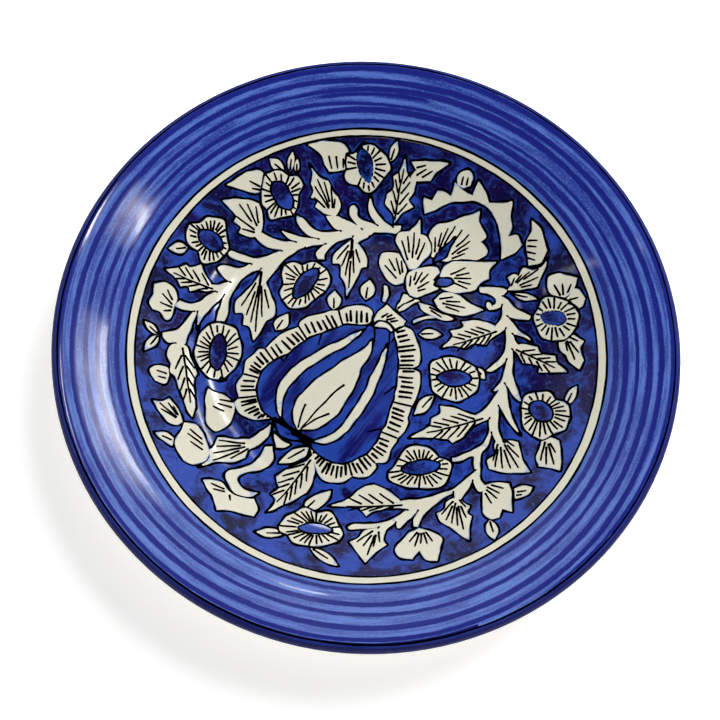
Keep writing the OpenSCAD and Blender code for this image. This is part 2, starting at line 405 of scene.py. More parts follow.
def hatch_border(outline, inner, every=2.6):
    """Strokes across a scalloped border: a line at each sharp point and shorter ones in each lobe."""
    inner = curve(inner, 0.5, closed=True)
    corners = [i for i, p in enumerate(outline) if len(p) > 2]

    def across_from(p):
        return inner[np.argmin(np.linalg.norm(inner - p, axis=1))]

    for i, last in zip(corners, corners[1:]):
        rim = curve(outline[i:last + 1], 0.3)
        if last != corners[-1]:
            line(rim[-1], across_from(rim[-1]), tail=0.95)
        run = run_of(rim)
        count = max(1, int((run[-1] - 2.6) / every))
        lean = rng.uniform(-0.8, 0.8)
        for k in range(count):
            at = run[-1] / 2 + (k - (count - 1) / 2 + rng.uniform(-0.14, 0.14)) * every
            p = point_at(rim, run, at)
            q = across_from(point_at(rim, run, at + lean))
            hatch(q, p, (0.04, 0.22), (0.66, 0.86), (1.12, 1.4))


def blossom(outline, centre, length, width, turn, level=1, every=2.9, plain=()):
    """A round flower, whose petals meet at the sharp points. Those listed as plain are not hatched."""
    c = np.array(centre, float)
    shape("flower", outline, level)

    def eye_edge(p):
        way = (p - c) / np.linalg.norm(p - c)
        a = math.atan2(way[1], way[0]) - math.radians(turn)
        return c + way / math.hypot(math.cos(a) / (length / 2), math.sin(a) / (width / 2))

    corners = [i for i, p in enumerate(outline) if len(p) > 2]
    for j, i in enumerate(corners):
        corner = np.array(outline[i][:2], float)
        inner = eye_edge(corner)
        line(corner, inner + 0.1 * (corner - inner), tail=0.9)
        last = corners[(j + 1) % len(corners)]
        count = (last - i) % len(outline)
        petal = curve([outline[(i + k) % len(outline)] for k in range(count + 1)], 0.3)
        run = run_of(petal)
        lines = 0 if j in plain else max(1, int(run[-1] / every) - 1)
        for k in range(lines):
            s = run[-1] * (k + 1 + rng.uniform(-0.15, 0.15)) / (lines + 1)
            p = point_at(petal, run, s)
            q = eye_edge(p)
            hatch(q, p, (0.06, 0.18), (0.74, 0.92), width=PETAL_LINE, tail=0.9)
    u, n = unit(turn) * length / 2, unit(turn + 90) * width / 2
    ends = ((-1, 0), (-0.62, -0.78), (0, -1), (0.62, -0.78), (1, 0), (0.62, 0.78), (0, 1), (-0.62, 0.78))
    shape("eye", [tuple(c + u * f + n * g) for f, g in ends], level + 1)


# --- The fruit in the middle of the well ---------------------------------------------------------------
def paint_fruit():
    left_border = [
        (0.2, 18.1, 1), (0.4, 23), (-3.8, 25.3), (-10.5, 24), (-14.7, 21.4, 1), (-18.9, 20.7),
        (-22.5, 18.9), (-27.9, 16.7), (-31.2, 13.6), (-31.6, 11.6, 1), (-35.7, 9.2), (-38.8, 6.7),
        (-42.9, 2.5), (-45, -0.9, 1), (-47.7, -1.9), (-50.1, -4.8), (-52.8, -7.8), (-52.9, -14.1, 1),
        (-55.1, -18.9), (-54.7, -22.2), (-53.5, -25.6, 1), (-55.1, -28.1), (-53.5, -31.1), (-50.5, -33.3),
        (-45.3, -34.7), (-41.1, -33.7), (-36.9, -33, 1), (-30.3, -28, 1), (-30.3, -7.8, 1), (-10.1, 8.4, 1)]
    right_border = [
        (0.6, 17.9, 1), (2.6, 22.5), (6.4, 27.2, 1), (11.1, 23.7), (16.2, 20.3, 1), (15.3, 17.7, 1),
        (19, 16.4), (21.5, 12.2), (23.4, 7.4), (24.2, 3.4), (23.7, 0.1), (20.8, -2, 1), (24.2, -3.3),
        (25.2, -8.3), (24.6, -14.2), (22.6, -19.5, 1), (21.5, -24.9), (21.8, -27.9), (20.6, -31.4),
        (17.6, -34.9, 1), (17.4, -37), (15.7, -40.9), (14.7, -44.9), (13.1, -46.7), (9.3, -47.5, 1),
        (10.1, -49.6), (7.9, -53.1), (3.6, -54.7), (0, -54.4, 1), (-1.2, -56), (-4, -58.1), (-9.3, -58.7),
        (-13.1, -57.1), (-16, -53.8), (-17.4, -49.8), (-19.6, -44.1, 1), (-8.1, -36, 1), (4, -17.8, 1),
        (4, 8.4, 1)]
    shape("fruit", left_border, 0)
    shape("fruit", right_border, 0)
    body = [
        (0.5, 16.1, 1), (-5.7, 15.6), (-10.5, 14.8), (-15.2, 12.7), (-20.1, 9.8), (-27.3, 5.5),
        (-33.7, -1.3), (-39, -5.4), (-42.6, -8.8), (-45, -12.8), (-45.8, -17.4), (-45.5, -21.9),
        (-44, -26.4), (-41, -30.6), (-36.9, -33.2, 1), (-30.3, -37.6), (-24.2, -41.1), (-19.6, -43.5, 1),
        (-16.5, -45.7), (-12.3, -48.1), (-8.1, -49.2), (-3.2, -48.7), (1.5, -46.2), (5.8, -42), (8.8, -37),
        (10.7, -31), (12.4, -24.9), (13.6, -18.8), (14.2, -12.8), (14.5, -5.7), (14.1, 1.3), (12.5, 8.4),
        (10.5, 14.1, 1), (6.1, 16.5)]
    shape("fruit_blue", body, 1)
    left = [
        (-1.6, 14.3, 1), (-6.9, 11.2), (-12.9, 7), (-20.1, 2.1), (-26.1, -2.7), (-31.5, -8.2),
        (-35.2, -13.6), (-37, -19.1), (-37, -24.5), (-35.5, -29.6), (-33.5, -33, 1), (-34.2, -27),
        (-33.5, -21.3), (-30.9, -14.8), (-25.6, -8.2), (-18.9, -2.1), (-12.9, 2.7), (-6.9, 8.1)]
    right = [
        (9.1, 8.8, 1), (8.9, 3.6), (8.2, -2.3), (7, -8.3), (5.1, -15.4), (2.6, -21.7), (-1, -28.7),
        (-5, -35.2), (-9.3, -39.4), (-13.5, -41.3), (-19.2, -41.3, 1), (-16.5, -39.7), (-11.9, -37.4),
        (-7.7, -33.4), (-4.5, -27.4), (-1.5, -21.3), (1, -15.2), (3.4, -7.1), (6, 0.3)]
    heart = [
        (2.4, 10, 1), (-0.9, 5.6), (-5.7, 1.4), (-10.5, -2.8), (-16.5, -8.1), (-22.5, -14.2),
        (-26.7, -20.3), (-28.9, -26.3), (-28.7, -31.8), (-26.2, -36.8, 1), (-18.8, -35.2), (-14.1, -32.2),
        (-9.8, -27.3), (-6.8, -21.4), (-4.2, -15.3), (-2.4, -9.2), (-0.9, -3.3), (1.6, 2.8)]
    for outline in (left, right, heart):
        shape("fruit", outline, 2)
    shape("fruit", [
        (1.4, 15.9, 1), (4, 18.3), (8.1, 17.8), (10.7, 14.7, 1), (9.5, 14.1), (7.5, 15.5), (4, 15.7)], 2)
    shape("fruit", [
        (-36.3, -38.7, 1), (-31.9, -42.1), (-27.9, -43.7, 1), (-30.7, -45.5), (-34.3, -46.2, 1),
        (-35.7, -42.1)], 2)
    shape("fruit_blue", [
        (-36.1, -34.2, 1), (-30.9, -36), (-25.8, -38.5), (-22.8, -41.1, 1), (-27.9, -41.3), (-33.3, -39.5)],
        2)
    line((-8, -13), (-13.5, -19.2), (-19.8, -28.3), (-24.8, -36), start=1.5)
    line((-23.8, -24.3), (-25.2, -29.6), (-26, -36))
    line((-12.9, -27.3), (-19.6, -31.4), (-25, -36.4), start=1.3)
    # the knot of dark strokes where the stem joins
    for points, width in ((((-37.3, -32.6), (-31.7, -35.2), (-25.2, -38.5), (-19.2, -43.1)), 2.2),
                          (((-28.7, -37.7), (-23.8, -39.5), (-17.8, -41.1)), 2.6),
                          (((-33.9, -31.6), (-30.7, -35), (-26.6, -37.5)), 1.4),
                          (((-25.8, -37.5), (-22.2, -41.5), (-18.8, -44.1)), 2.4),
                          (((-36.9, -33), (-37.1, -38.1), (-35.7, -44.1)), 1.3)):
        line(*points, width=width, tail=0.8)
    # short strokes that run from the border into the blue, and the tip of the fruit
    for a, b in (((-20.8, 10), (-21.8, 3.8)), ((-33.9, -1.1), (-35.7, -5.8)),
                 ((-37.8, -3.9), (-36.1, -6.2)), ((14.1, -11.2), (9.7, -15.4)), ((10.3, -31.4), (4.2, -34)),
                 ((2.2, 15.1), (3.2, 8.4)), ((-0.6, 17.1), (-2, 13.1)), ((9.1, 13.9), (9.7, 7.8)),
                 ((11.7, 11.4), (10.3, 9))):
        line(a, b, tail=0.5, start=1.3)
    hatch_border(left_border[:-3], body)
    hatch_border(right_border[4:-3], body)
    rays((1.6, 17.1), (7.7, 23.1), (9.7, 22.7), (11.1, 21.3), (12.5, 20.1), near=0.52, width=1.1)


# --- Vines ---------------------------------------------------------------------------------------------
def paint_vines():
    # the upper left vine: along its upper side, round its tip and back along its lower side
    shape("vine", [
        (9, 62, 1), (9, 66, 1), (4.6, 65, 1), (0.5, 67.2), (-3.6, 71.2), (-7.2, 77.4, 1), (-7, 72),
        (-5, 68), (-2.5, 65, 1), (-5, 65.6), (-8.8, 66.2), (-11.6, 68), (-11.8, 71), (-13.4, 72.6),
        (-15.4, 71.4), (-15.4, 68), (-13.8, 65.4), (-11.5, 63.5, 1), (-13, 63.9), (-16.5, 65),
        (-20, 66.4, 1), (-26, 66, 1), (-24, 63.4), (-21.4, 61), (-19, 59.8, 1), (-23.5, 58.4), (-28, 58),
        (-32, 59.6), (-35.8, 62.7), (-39.4, 64, 1), (-38.5, 60.4), (-35, 57), (-31.5, 55), (-28.5, 54.6, 1),
        (-35, 54.5), (-41, 55), (-45.4, 56.2, 1), (-43.6, 54.2), (-41.2, 52.3), (-38.5, 51.6, 1),
        (-45, 51.2), (-50.4, 52), (-53.5, 53.2, 1), (-57, 50.8, 1), (-54.2, 48.5), (-51, 47), (-47.3, 46.5),
        (-44.2, 46.5, 1), (-48, 44.2), (-52, 42), (-56.5, 40.8), (-62.7, 41.7), (-66, 42), (-67.4, 40.6),
        (-66.6, 39.4), (-64.2, 38.5), (-60.4, 38), (-57, 38, 1), (-59.6, 35.9), (-62, 35), (-65.4, 35.2),
        (-69, 34.9), (-70.6, 32.6), (-68.6, 30), (-66.6, 28.4), (-65, 27.9, 1), (-66.5, 27), (-70.4, 25.5),
        (-76.5, 25.2, 1), (-77.3, 22.8, 1), (-73.5, 22.2), (-70.4, 22.2, 1), (-73.5, 19.2), (-76.5, 16.2),
        (-80, 14.2), (-85, 13.8, 1), (-87, 10.4, 1), (-83.5, 10.1), (-78.7, 10.5, 1), (-80.4, 7),
        (-82.3, 3), (-85, 0), (-89.8, -3, 1), (-89.2, -5), (-86.5, -6.6), (-83.5, -5.4, 1), (-82, -8, 1),
        (-79.6, -5, 1), (-78.5, 1.5), (-77.6, 6), (-76.6, 10.3, 1), (-76, 5), (-75.8, 2.5, 1), (-75, 6),
        (-72.7, 11.5), (-69.6, 16.2), (-66.5, 20.8, 1), (-67.3, 17), (-68, 11.5), (-68.4, 8.4, 1),
        (-64.2, 9, 1), (-63.5, 13.8), (-63.8, 18.5), (-62.7, 23), (-59.6, 30), (-55.8, 33.8),
        (-52, 35.8, 1), (-52.6, 31, 1), (-49.6, 26.4, 1), (-48.8, 29.2), (-47.3, 33), (-44.2, 38.5),
        (-41.2, 43), (-37.3, 47), (-34.2, 49, 1), (-29.6, 50.9), (-25, 52.2, 1), (-27.3, 49.2), (-28.2, 47),
        (-27.2, 44.4, 1), (-23.6, 44.8, 1), (-23.8, 47.7), (-22.3, 50.8), (-18.8, 54.2), (-15, 56.5),
        (-12.3, 57.3, 1), (-12.8, 54, 1), (-10.6, 53.6, 1), (-8.6, 56), (-5.4, 58.2, 1), (-3.8, 60),
        (-2.7, 61), (3, 61.3), (7.3, 61.5)])
    # the vine at the right: down its inner side to its end, and back up its outer side
    shape("vine", [
        (47.2, 40.4, 1), (47.8, 37.9), (51.6, 37.2), (54.4, 35.6), (55.2, 33.6), (53.8, 32.2, 1),
        (52.2, 33.6), (51, 33.2), (50.8, 31.4), (52.4, 29.8), (55.4, 30.2), (58.2, 32, 1), (57.9, 26),
        (55.4, 22, 1), (55, 17.4, 1), (58, 18.6), (60.6, 21, 1), (61.3, 16.8), (61.1, 12.7), (60, 8.5),
        (56.7, 4.3), (53.4, 0.8, 1), (56, 0.4), (59.2, 2.7), (62.3, 6.4, 1), (61.8, 2.7), (60.4, -3.2),
        (57, -8.6, 1), (59.7, -7.9, 1), (56.7, -14), (52.5, -19), (48.3, -21.5, 1), (48.3, -25.7, 1),
        (52.5, -23.2), (56.9, -21.5, 1), (57, -26.5), (56.7, -29), (54.6, -33.6), (50.8, -36.8),
        (46.7, -39), (42.2, -41, 1), (42.8, -42.8), (47, -41.6), (51.2, -39.8), (51.8, -43),
        (52.4, -46.2, 1), (49, -50.4), (45, -54.3), (38, -58.5), (30, -61.4), (23, -62.9), (20, -64, 1),
        (17, -66.4, 1), (25, -67.2, 1), (20.5, -71), (16, -73.7), (10, -75.5), (3, -76.4), (0.6, -78.2, 1),
        (1.8, -79.2), (8.5, -78.2), (13.5, -76.9, 1), (13, -80.4, 1), (16.2, -80.4, 1), (17.6, -77.4),
        (20.8, -74, 1), (21.6, -76.2), (22.8, -76.2, 1), (25.6, -72.4), (27.6, -70.6), (29.6, -67.2, 1),
        (28.3, -71.2), (28.4, -74.6, 1), (30.8, -75, 1), (32.5, -69), (36, -64.5), (41, -60),
        (44.2, -57, 1), (44.6, -61), (45.2, -66, 1), (46.5, -62.5), (47.8, -59.4), (50.6, -55),
        (52, -51.3, 1), (53.2, -53.6), (55.2, -56.2), (57.2, -56, 1), (57.8, -52.9, 1), (55.6, -50.5),
        (54.9, -47), (54.6, -41), (55.4, -37.4), (57, -34.8), (57.9, -31.5), (58.5, -28.6, 1),
        (60.4, -32.3), (62.5, -37, 1), (63.3, -31.5), (61.7, -26.5), (60.8, -20.7), (60.8, -15.7, 1),
        (64.2, -20.7), (68.3, -25.7), (71.3, -28.2, 1), (67, -20.7), (64.6, -12.3), (63.8, -8),
        (62.7, -4.8, 1), (64.2, -6.5), (65.8, -9), (68.8, -11.9), (70.8, -12.3, 1), (69.2, -9), (67, -4),
        (65.4, 1), (65, 8.5), (64.8, 11.6, 1), (66.7, 10.2), (69.2, 8, 1), (71.3, 11.4, 1), (69.2, 12.7),
        (65.8, 15.6), (64.2, 18.9, 1), (66.7, 18.5), (69.2, 17.8), (73.3, 15.6, 1), (70.8, 18.4),
        (66.7, 21), (63.3, 24.8), (61.2, 27.4, 1), (65.8, 26), (70.8, 26, 1), (71.3, 28, 1), (69.2, 29),
        (65, 31), (60.8, 34.8), (58.4, 36.5, 1), (60, 39.4, 1), (58, 40.2), (52, 40.6)])
    # the stem of the large leaf at the left
    stem([(-37.6, -35.6), (-40.8, -41.5), (-46.2, -46.8), (-48.2, -49.3)], [0.6, 4.4, 4.4, 3])
    # the fruit's own stem, hooked at its end
    shape("vine", [
        (-35.7, -45.6, 1), (-34.5, -51.7), (-38.9, -56.9), (-45.3, -59.6), (-48.2, -63.1), (-45.6, -67),
        (-41.8, -68), (-38.2, -67.3, 1), (-41.2, -70.5), (-47.5, -70.9), (-51.6, -67.5), (-54, -62.7),
        (-52.7, -59.5), (-47.7, -57.6), (-43.1, -54.5), (-40.3, -50.3), (-39, -46.2, 1)], 1)
    # where two shoots part, the inked line runs on a little into the stem and ends in a blot
    for x, y, a in ((5.8, 64.2, -35), (-1.4, 64.2, -40), (-8.2, 61.4, -35), (-17.6, 59.6, -10),
                    (-27.2, 54.4, -5), (-37.2, 51.4, -8), (-43, 46.2, -12), (-55.8, 37.8, -5),
                    (-63.8, 27.7, -5), (-69.2, 22, 0), (-77.6, 11, 25), (-76.7, 11.6, 95), (-66.1, 22, 70),
                    (-51.6, 37, 70), (-33, 49.8, 35), (-23.8, 52.9, 30), (-12.1, 58.5, 75),
                    (-4.6, 59.4, 55), (57.6, 36.9, 165), (60.2, 27.9, 155), (63.4, 19.6, 140),
                    (64, 12.4, 135), (62, -3.8, 125), (60.2, -14.6, 115), (58.1, -27.4, 110),
                    (52, -50.4, 95), (53.2, -45.4, 45), (44.1, -56.2, 85), (26, -67.4, -10),
                    (14.2, -76.2, 50), (21.2, -73.2, 60), (30, -66.6, 60), (57.3, -20.4, 70),
                    (62.4, 7.6, 80), (60.8, 22.2, 80), (58.2, 33.2, 85)):
        tip = np.array((x, y), float)
        line(tip - 1.6 * unit(a), tip, width=0.85, tail=1.3, start=0.8)


# --- Leaves and buds -----------------------------------------------------------------------------------
def paint_large_leaves():
    # each leaf as its outline, then its strokes
    shape("leaf", [
        (-36.2, 86.1, 1), (-31.1, 81.8), (-26.4, 81.2, 1), (-24.3, 77.8), (-21.2, 75.2, 1), (-19.7, 71),
        (-21.2, 65.4, 1), (-26.5, 66.6), (-31.2, 68.8, 1), (-30.5, 71.7), (-33.8, 72.3, 1), (-32.9, 75.5),
        (-34.5, 78.2, 1), (-34.4, 82.4)])
    rays(
        (-22.7, 66.8), (-31.7, 80.7), (-28.5, 80.2), (-25.1, 79), (-22.7, 74), (-32.5, 77.7), (-32.3, 72.9),
        near=0.2)
    shape("leaf", [
        (7.2, 95, 1), (9.8, 87.5), (13.8, 86.7, 1), (13, 81.1), (11.3, 77.3), (13.5, 74.4, 1), (9.3, 71.7),
        (5.6, 65.9, 1), (4.6, 70.3), (0.4, 74.5), (0.6, 78.9, 1), (3.6, 82.1), (2.6, 86.7, 1), (4.8, 89)])
    ribs((5.6, 67.5), (7.4, 94.1), 4.8, 6.2, 4)
    shape("leaf", [
        (-73, 62.2, 1), (-67, 64.7), (-61.1, 65.7), (-56.7, 65.3, 1), (-54.6, 62), (-53.4, 58),
        (-53.7, 51.8, 1), (-58.2, 49.8), (-64, 50.7, 1), (-63.4, 53.2), (-66.7, 54.7, 1), (-66.1, 57.3),
        (-68.9, 59.3)])
    rays((-53.9, 52.1), (-66.3, 57.5), (-65.1, 62.9), (-61.5, 64), (-57.7, 63.9), (-62.8, 52.7), near=0.22)
    shape("leaf", [
        (-12.6, 57.1, 1), (-15.9, 53.4), (-19.9, 48.1), (-20.2, 43.4, 1), (-16.8, 43.6), (-15.9, 37.6, 1),
        (-13.5, 34.6), (-11.9, 27.4, 1), (-10.1, 33), (-8.1, 38.2, 1), (-6.7, 43), (-4.4, 43.9, 1),
        (-5, 48.7), (-8.1, 53.7)])
    rays(
        (-12.4, 55.7), (-18.4, 45.7), (-15.9, 42.6), (-13.7, 38.2), (-11.5, 32.6), (-9.9, 40), (-7.7, 45.3),
        near=0.22)
    line((-12.5, 56.7), (-12.3, 46.7), width=1.5)
    shape("leaf", [
        (-51.4, 36.1, 1), (-54.1, 29.4), (-57.9, 23.8), (-60.9, 18.7), (-60.5, 13.7, 1), (-57.1, 13.9),
        (-56.3, 8.9, 1), (-53.5, 8.3), (-50.5, 1.3, 1), (-48, 7.3), (-45.8, 12, 1), (-43, 15.2),
        (-43.6, 20.4), (-46.4, 26.5), (-49, 31.5)])
    rays(
        (-51.4, 33.5), (-58.1, 17.4), (-55.3, 13.3), (-52.9, 10.3), (-50.4, 6.3), (-48.2, 13.4),
        (-45.8, 18), near=0.22)
    line((-51.4, 35.5), (-51.1, 22.4), width=1.4)
    shape("leaf", [
        (-93, 26, 1), (-88, 27.7), (-84.3, 30.7, 1), (-82.9, 30), (-78.2, 32.8, 1), (-75.9, 29.1),
        (-73.2, 26.2), (-70.8, 22.8, 1), (-74.4, 20.8), (-78.3, 20.5), (-81.3, 19, 1), (-82.4, 21.1),
        (-85.5, 20.3, 1), (-87.1, 22.5)])
    ribs((-71.4, 23), (-92, 25.6), 4.6, 7.4, 4)
    shape("leaf", [
        (-82.3, -5.1, 1), (-85.6, -7.4), (-86.6, -12.1), (-84.4, -16, 1), (-84.2, -19.5), (-81.9, -21.1, 1),
        (-80.1, -25.3), (-78.1, -28.4, 1), (-75.3, -33.8), (-71.3, -38.9, 1), (-71.1, -35), (-71.7, -29.9),
        (-72.8, -24.2), (-73.2, -20.5), (-72.4, -17.6, 1), (-74.4, -14.3), (-76.8, -10.4, 1),
        (-78.6, -6.3)])
    ribs((-80.7, -7), (-72.3, -36.1), 5.6, 6, 4)
    shape("leaf", [
        (-74.8, -41.5, 1), (-76.8, -36.8), (-79.8, -33.7), (-82, -31.6, 1), (-85.1, -34.2), (-89, -35, 1),
        (-86.8, -37.8), (-83.6, -41.5), (-81, -43.6), (-77.5, -44.1)])
    rays((-75.6, -41.5), (-86, -35.3), (-82.5, -34.1), (-85, -37.9), (-80.2, -35), near=0.2)
    shape("leaf", [
        (-45, -43.4, 1), (-52.4, -44.4), (-59.6, -45, 1), (-60.9, -49.8), (-62.7, -52.2, 1), (-61.8, -55.7),
        (-65.5, -61.4, 1), (-58.2, -57), (-51.6, -55.8), (-46.9, -52.8, 1), (-45.8, -48.4)])
    rays(
        (-43.4, -45.8), (-59, -46.6), (-59.7, -49.6), (-60.5, -53.2), (-60.2, -56.7), (-52.9, -54.3),
        near=0.2)
    shape("leaf", [
        (-17.8, -46.5, 1), (-21.3, -50.9), (-26.5, -53.6), (-32.7, -58.9, 1), (-32, -62), (-31, -64.7),
        (-33.6, -67.5, 1), (-31.1, -70.4), (-34.5, -76.9, 1), (-27.2, -71.8), (-22.6, -68.3),
        (-18.4, -64.5, 1), (-16.7, -60.3), (-16.1, -54.9), (-16.8, -50.2)])
    ribs((-18.4, -49.2), (-32.5, -74.7), 6, 8, 5)
    shape("leaf", [
        (-32.1, -53.1, 1), (-28.9, -47.6), (-24.2, -44.5), (-19.6, -43.7, 1), (-21.2, -48.2),
        (-26.2, -51.8)], 1)
    line((-21.6, -44.9), (-28.7, -50.4))
    shape("leaf", [
        (25.2, -66.1, 1), (22.6, -63.3), (16.5, -59.1), (10, -56.9, 1), (5.3, -58.5), (0, -64.4),
        (-9.1, -69.9, 1), (-2, -69), (3.9, -68.4), (8, -72.1, 1), (11.9, -69.4), (17.2, -67.6)])
    ribs((23.2, -65.2), (-5, -69.2), 3.6, 8.2, 4)
    shape("leaf", [
        (13.9, -76.3, 1), (7.9, -78.7), (6, -82.4), (2.2, -85.3, 1), (5.4, -89.4), (9.9, -94.6, 1),
        (13, -90), (18, -84.6, 1), (16.5, -82.2), (17.3, -78.6, 1)])
    rays((13.5, -76.7), (5.2, -84.9), (8, -86.6), (10.2, -90.9), (12.4, -86.7), (15, -83.9), near=0.2)
    shape("leaf", [
        (45.7, -58.4, 1), (41.7, -61.9), (41, -64.8), (37.4, -67.4, 1), (39.6, -71.8), (43.5, -73.8, 1),
        (46.8, -76.8), (52.2, -80, 1), (52.1, -72.8), (53, -68.2, 1), (50.8, -66.4), (51.7, -62.9, 1),
        (48.7, -61.2)])
    rays(
        (45.9, -59.5), (39.6, -68.1), (41.8, -70.9), (44.3, -72.1), (46.9, -73), (49.5, -74.8),
        (50.5, -69.1), (50, -63.8), near=0.18)
    shape("leaf", [
        (60.9, -28.8, 1), (59.7, -33.3), (60.4, -37.3), (57.4, -41.4, 1), (58.2, -45.1, 1), (64.8, -46.5),
        (76.1, -46.3, 1), (72.2, -39.4), (70.2, -31.6, 1), (66.2, -30.9), (64.2, -32.5)])
    rays(
        (61.9, -29.3), (60, -41.2), (61.2, -44.2), (64.3, -44.6), (67.7, -44.6), (71, -44.1), (70.9, -39.1),
        (68.8, -33.8), near=0.24)
    shape("leaf", [
        (79.8, -29.6, 1), (82.8, -29), (87, -30.9, 1), (88, -37), (87.9, -45.5, 1), (84.2, -44.2),
        (78.8, -43.4, 1), (77.6, -39.8), (79.1, -34.5)])
    rays((81.6, -29.5), (79.7, -40.7), (82.2, -42.5), (85.4, -42.6), (85.8, -36.9), near=0.14)
    shape("leaf", [
        (57.5, -20.6, 1), (49.2, -20.1), (41.2, -17.9), (35, -17.7, 1), (35.2, -21.5), (31.3, -24.1, 1),
        (30.6, -28.4), (22.2, -34.2, 1), (31.9, -33.2), (39.8, -33, 1), (42, -34.7, 1), (46.5, -31),
        (50.1, -26), (55.8, -22.4)])
    ribs((54.5, -21.6), (26.2, -32.6), 7.6, 7, 5)
    shape("leaf", [
        (60.5, 20.7, 1), (54.5, 23), (47.4, 24.5), (40.4, 23.1, 1), (41.4, 20.2), (35.9, 18, 1),
        (37.3, 15.4), (32.3, 8.8, 1), (38.4, 10.8), (44.4, 10.4, 1), (46.4, 12.4), (52.5, 12.8, 1),
        (54.5, 16)])
    ribs((57.1, 20), (34.7, 10), 6.6, 7, 5)
    shape("leaf", [
        (63.5, 13.2, 1), (69.5, 14.9), (75.4, 13.8, 1), (77, 10.9), (83.3, 9.4, 1), (84.2, 6.1),
        (88.7, 1, 1), (82.3, 1.3), (76.4, 1.2, 1), (76, 4.4), (69.5, 5.5, 1), (67.5, 9)])
    ribs((65.9, 11.9), (86.2, 2.2), 5.6, 5.8, 4)
    shape("leaf", [
        (86.1, 19.8, 1), (90.1, 18.8), (94.4, 15.4, 1), (93, 12.1), (95.4, 6.6, 1), (93.6, 2.1, 1),
        (89.1, 6.3), (87.5, 9.4, 1), (84.8, 12), (83.8, 16.3)])
    rays((86.1, 18.8), (92, 15.5), (92.8, 9.9), (91.5, 6.8), (88.1, 11), near=0.2)
    shape("leaf", [
        (59.2, 39.2, 1), (60.6, 42.4), (59, 45.7, 1), (62.1, 47), (64.5, 46.3, 1), (65.8, 49.9),
        (70.2, 48.7), (73.1, 50, 1), (76, 53.9, 1), (74.6, 47.2), (72.8, 41.1, 1), (66.3, 40)])
    rays(
        (60.4, 39.7), (62.5, 45.3), (65.7, 46.8), (68.8, 47.9), (72.5, 49.1), (72.8, 45.5), (70.6, 42.2),
        near=0.3)
    shape("leaf", [
        (66.8, 70.9, 1), (71, 67.1), (73.8, 61.2), (75.5, 56.6, 1), (72.7, 51.6), (67.8, 50.6, 1),
        (66.3, 56.4), (65.7, 60.4), (67.2, 65.1)])
    for y in (54.4, 56.8, 59.2, 61.5):
        line((66.3, y), (70.7, y - 1.5 + 0.2 * (y - 54.4)), tail=0.6)


def paint_small_leaves():
    small = [
        ((-84.6, 38.1), (-93, 35.1), 2.4), ((-46.6, 80.5), (-54.6, 84.9), 2.6),
        ((-44.4, 81), (-44, 89.9), 1.6), ((-41.2, 81.2), (-41.6, 87.4), 1.3),
        ((0.4, 92.2), (3.2, 101.3), 2), ((-16.8, 21.3), (-17.6, 31), 3.2), ((-41.4, 8), (-36.9, 17.2), 3),
        ((-3.2, 27.8), (-2.4, 38.2), 3.2), ((22.2, 14.8), (32.9, 15.8), 2.6),
        ((31.9, -13.2), (23.6, -23.5), 2.6), ((-91.1, -3.8), (-96, -13.6), 2),
        ((-91.1, -4.2), (-98, 0.3), 1.6), ((-25, -85.3), (-38, -87), 2.2),
        ((-13.8, -90.3), (-0.8, -97.6), 2.4), ((88.7, -14.7), (93, -4.9), 2.2),
        ((60, -69.3), (62.6, -79.4), 2.7), ((10.9, 25.1), (16.8, 30.6), 2),
        ((48.4, 1.7), (53.9, -3.4), 2.2), ((61.4, 37.9), (73.7, 35.4), 1.7)]
    for base, tip, half in small:
        b, e = np.array(base, float), np.array(tip, float)
        u = (e - b) / np.linalg.norm(e - b)
        n = np.array([-u[1], u[0]]) * half
        d = e - b
        shape("leaf", [
            (*b, 1), tuple(b + 0.26 * d + 0.8 * n), tuple(b + 0.58 * d + 0.95 * n), (*e, 1),
            tuple(b + 0.58 * d - 0.95 * n), tuple(b + 0.26 * d - 0.8 * n)])
        line(b + 0.08 * d, b + 0.62 * d + 0.1 * n, tail=0.7)


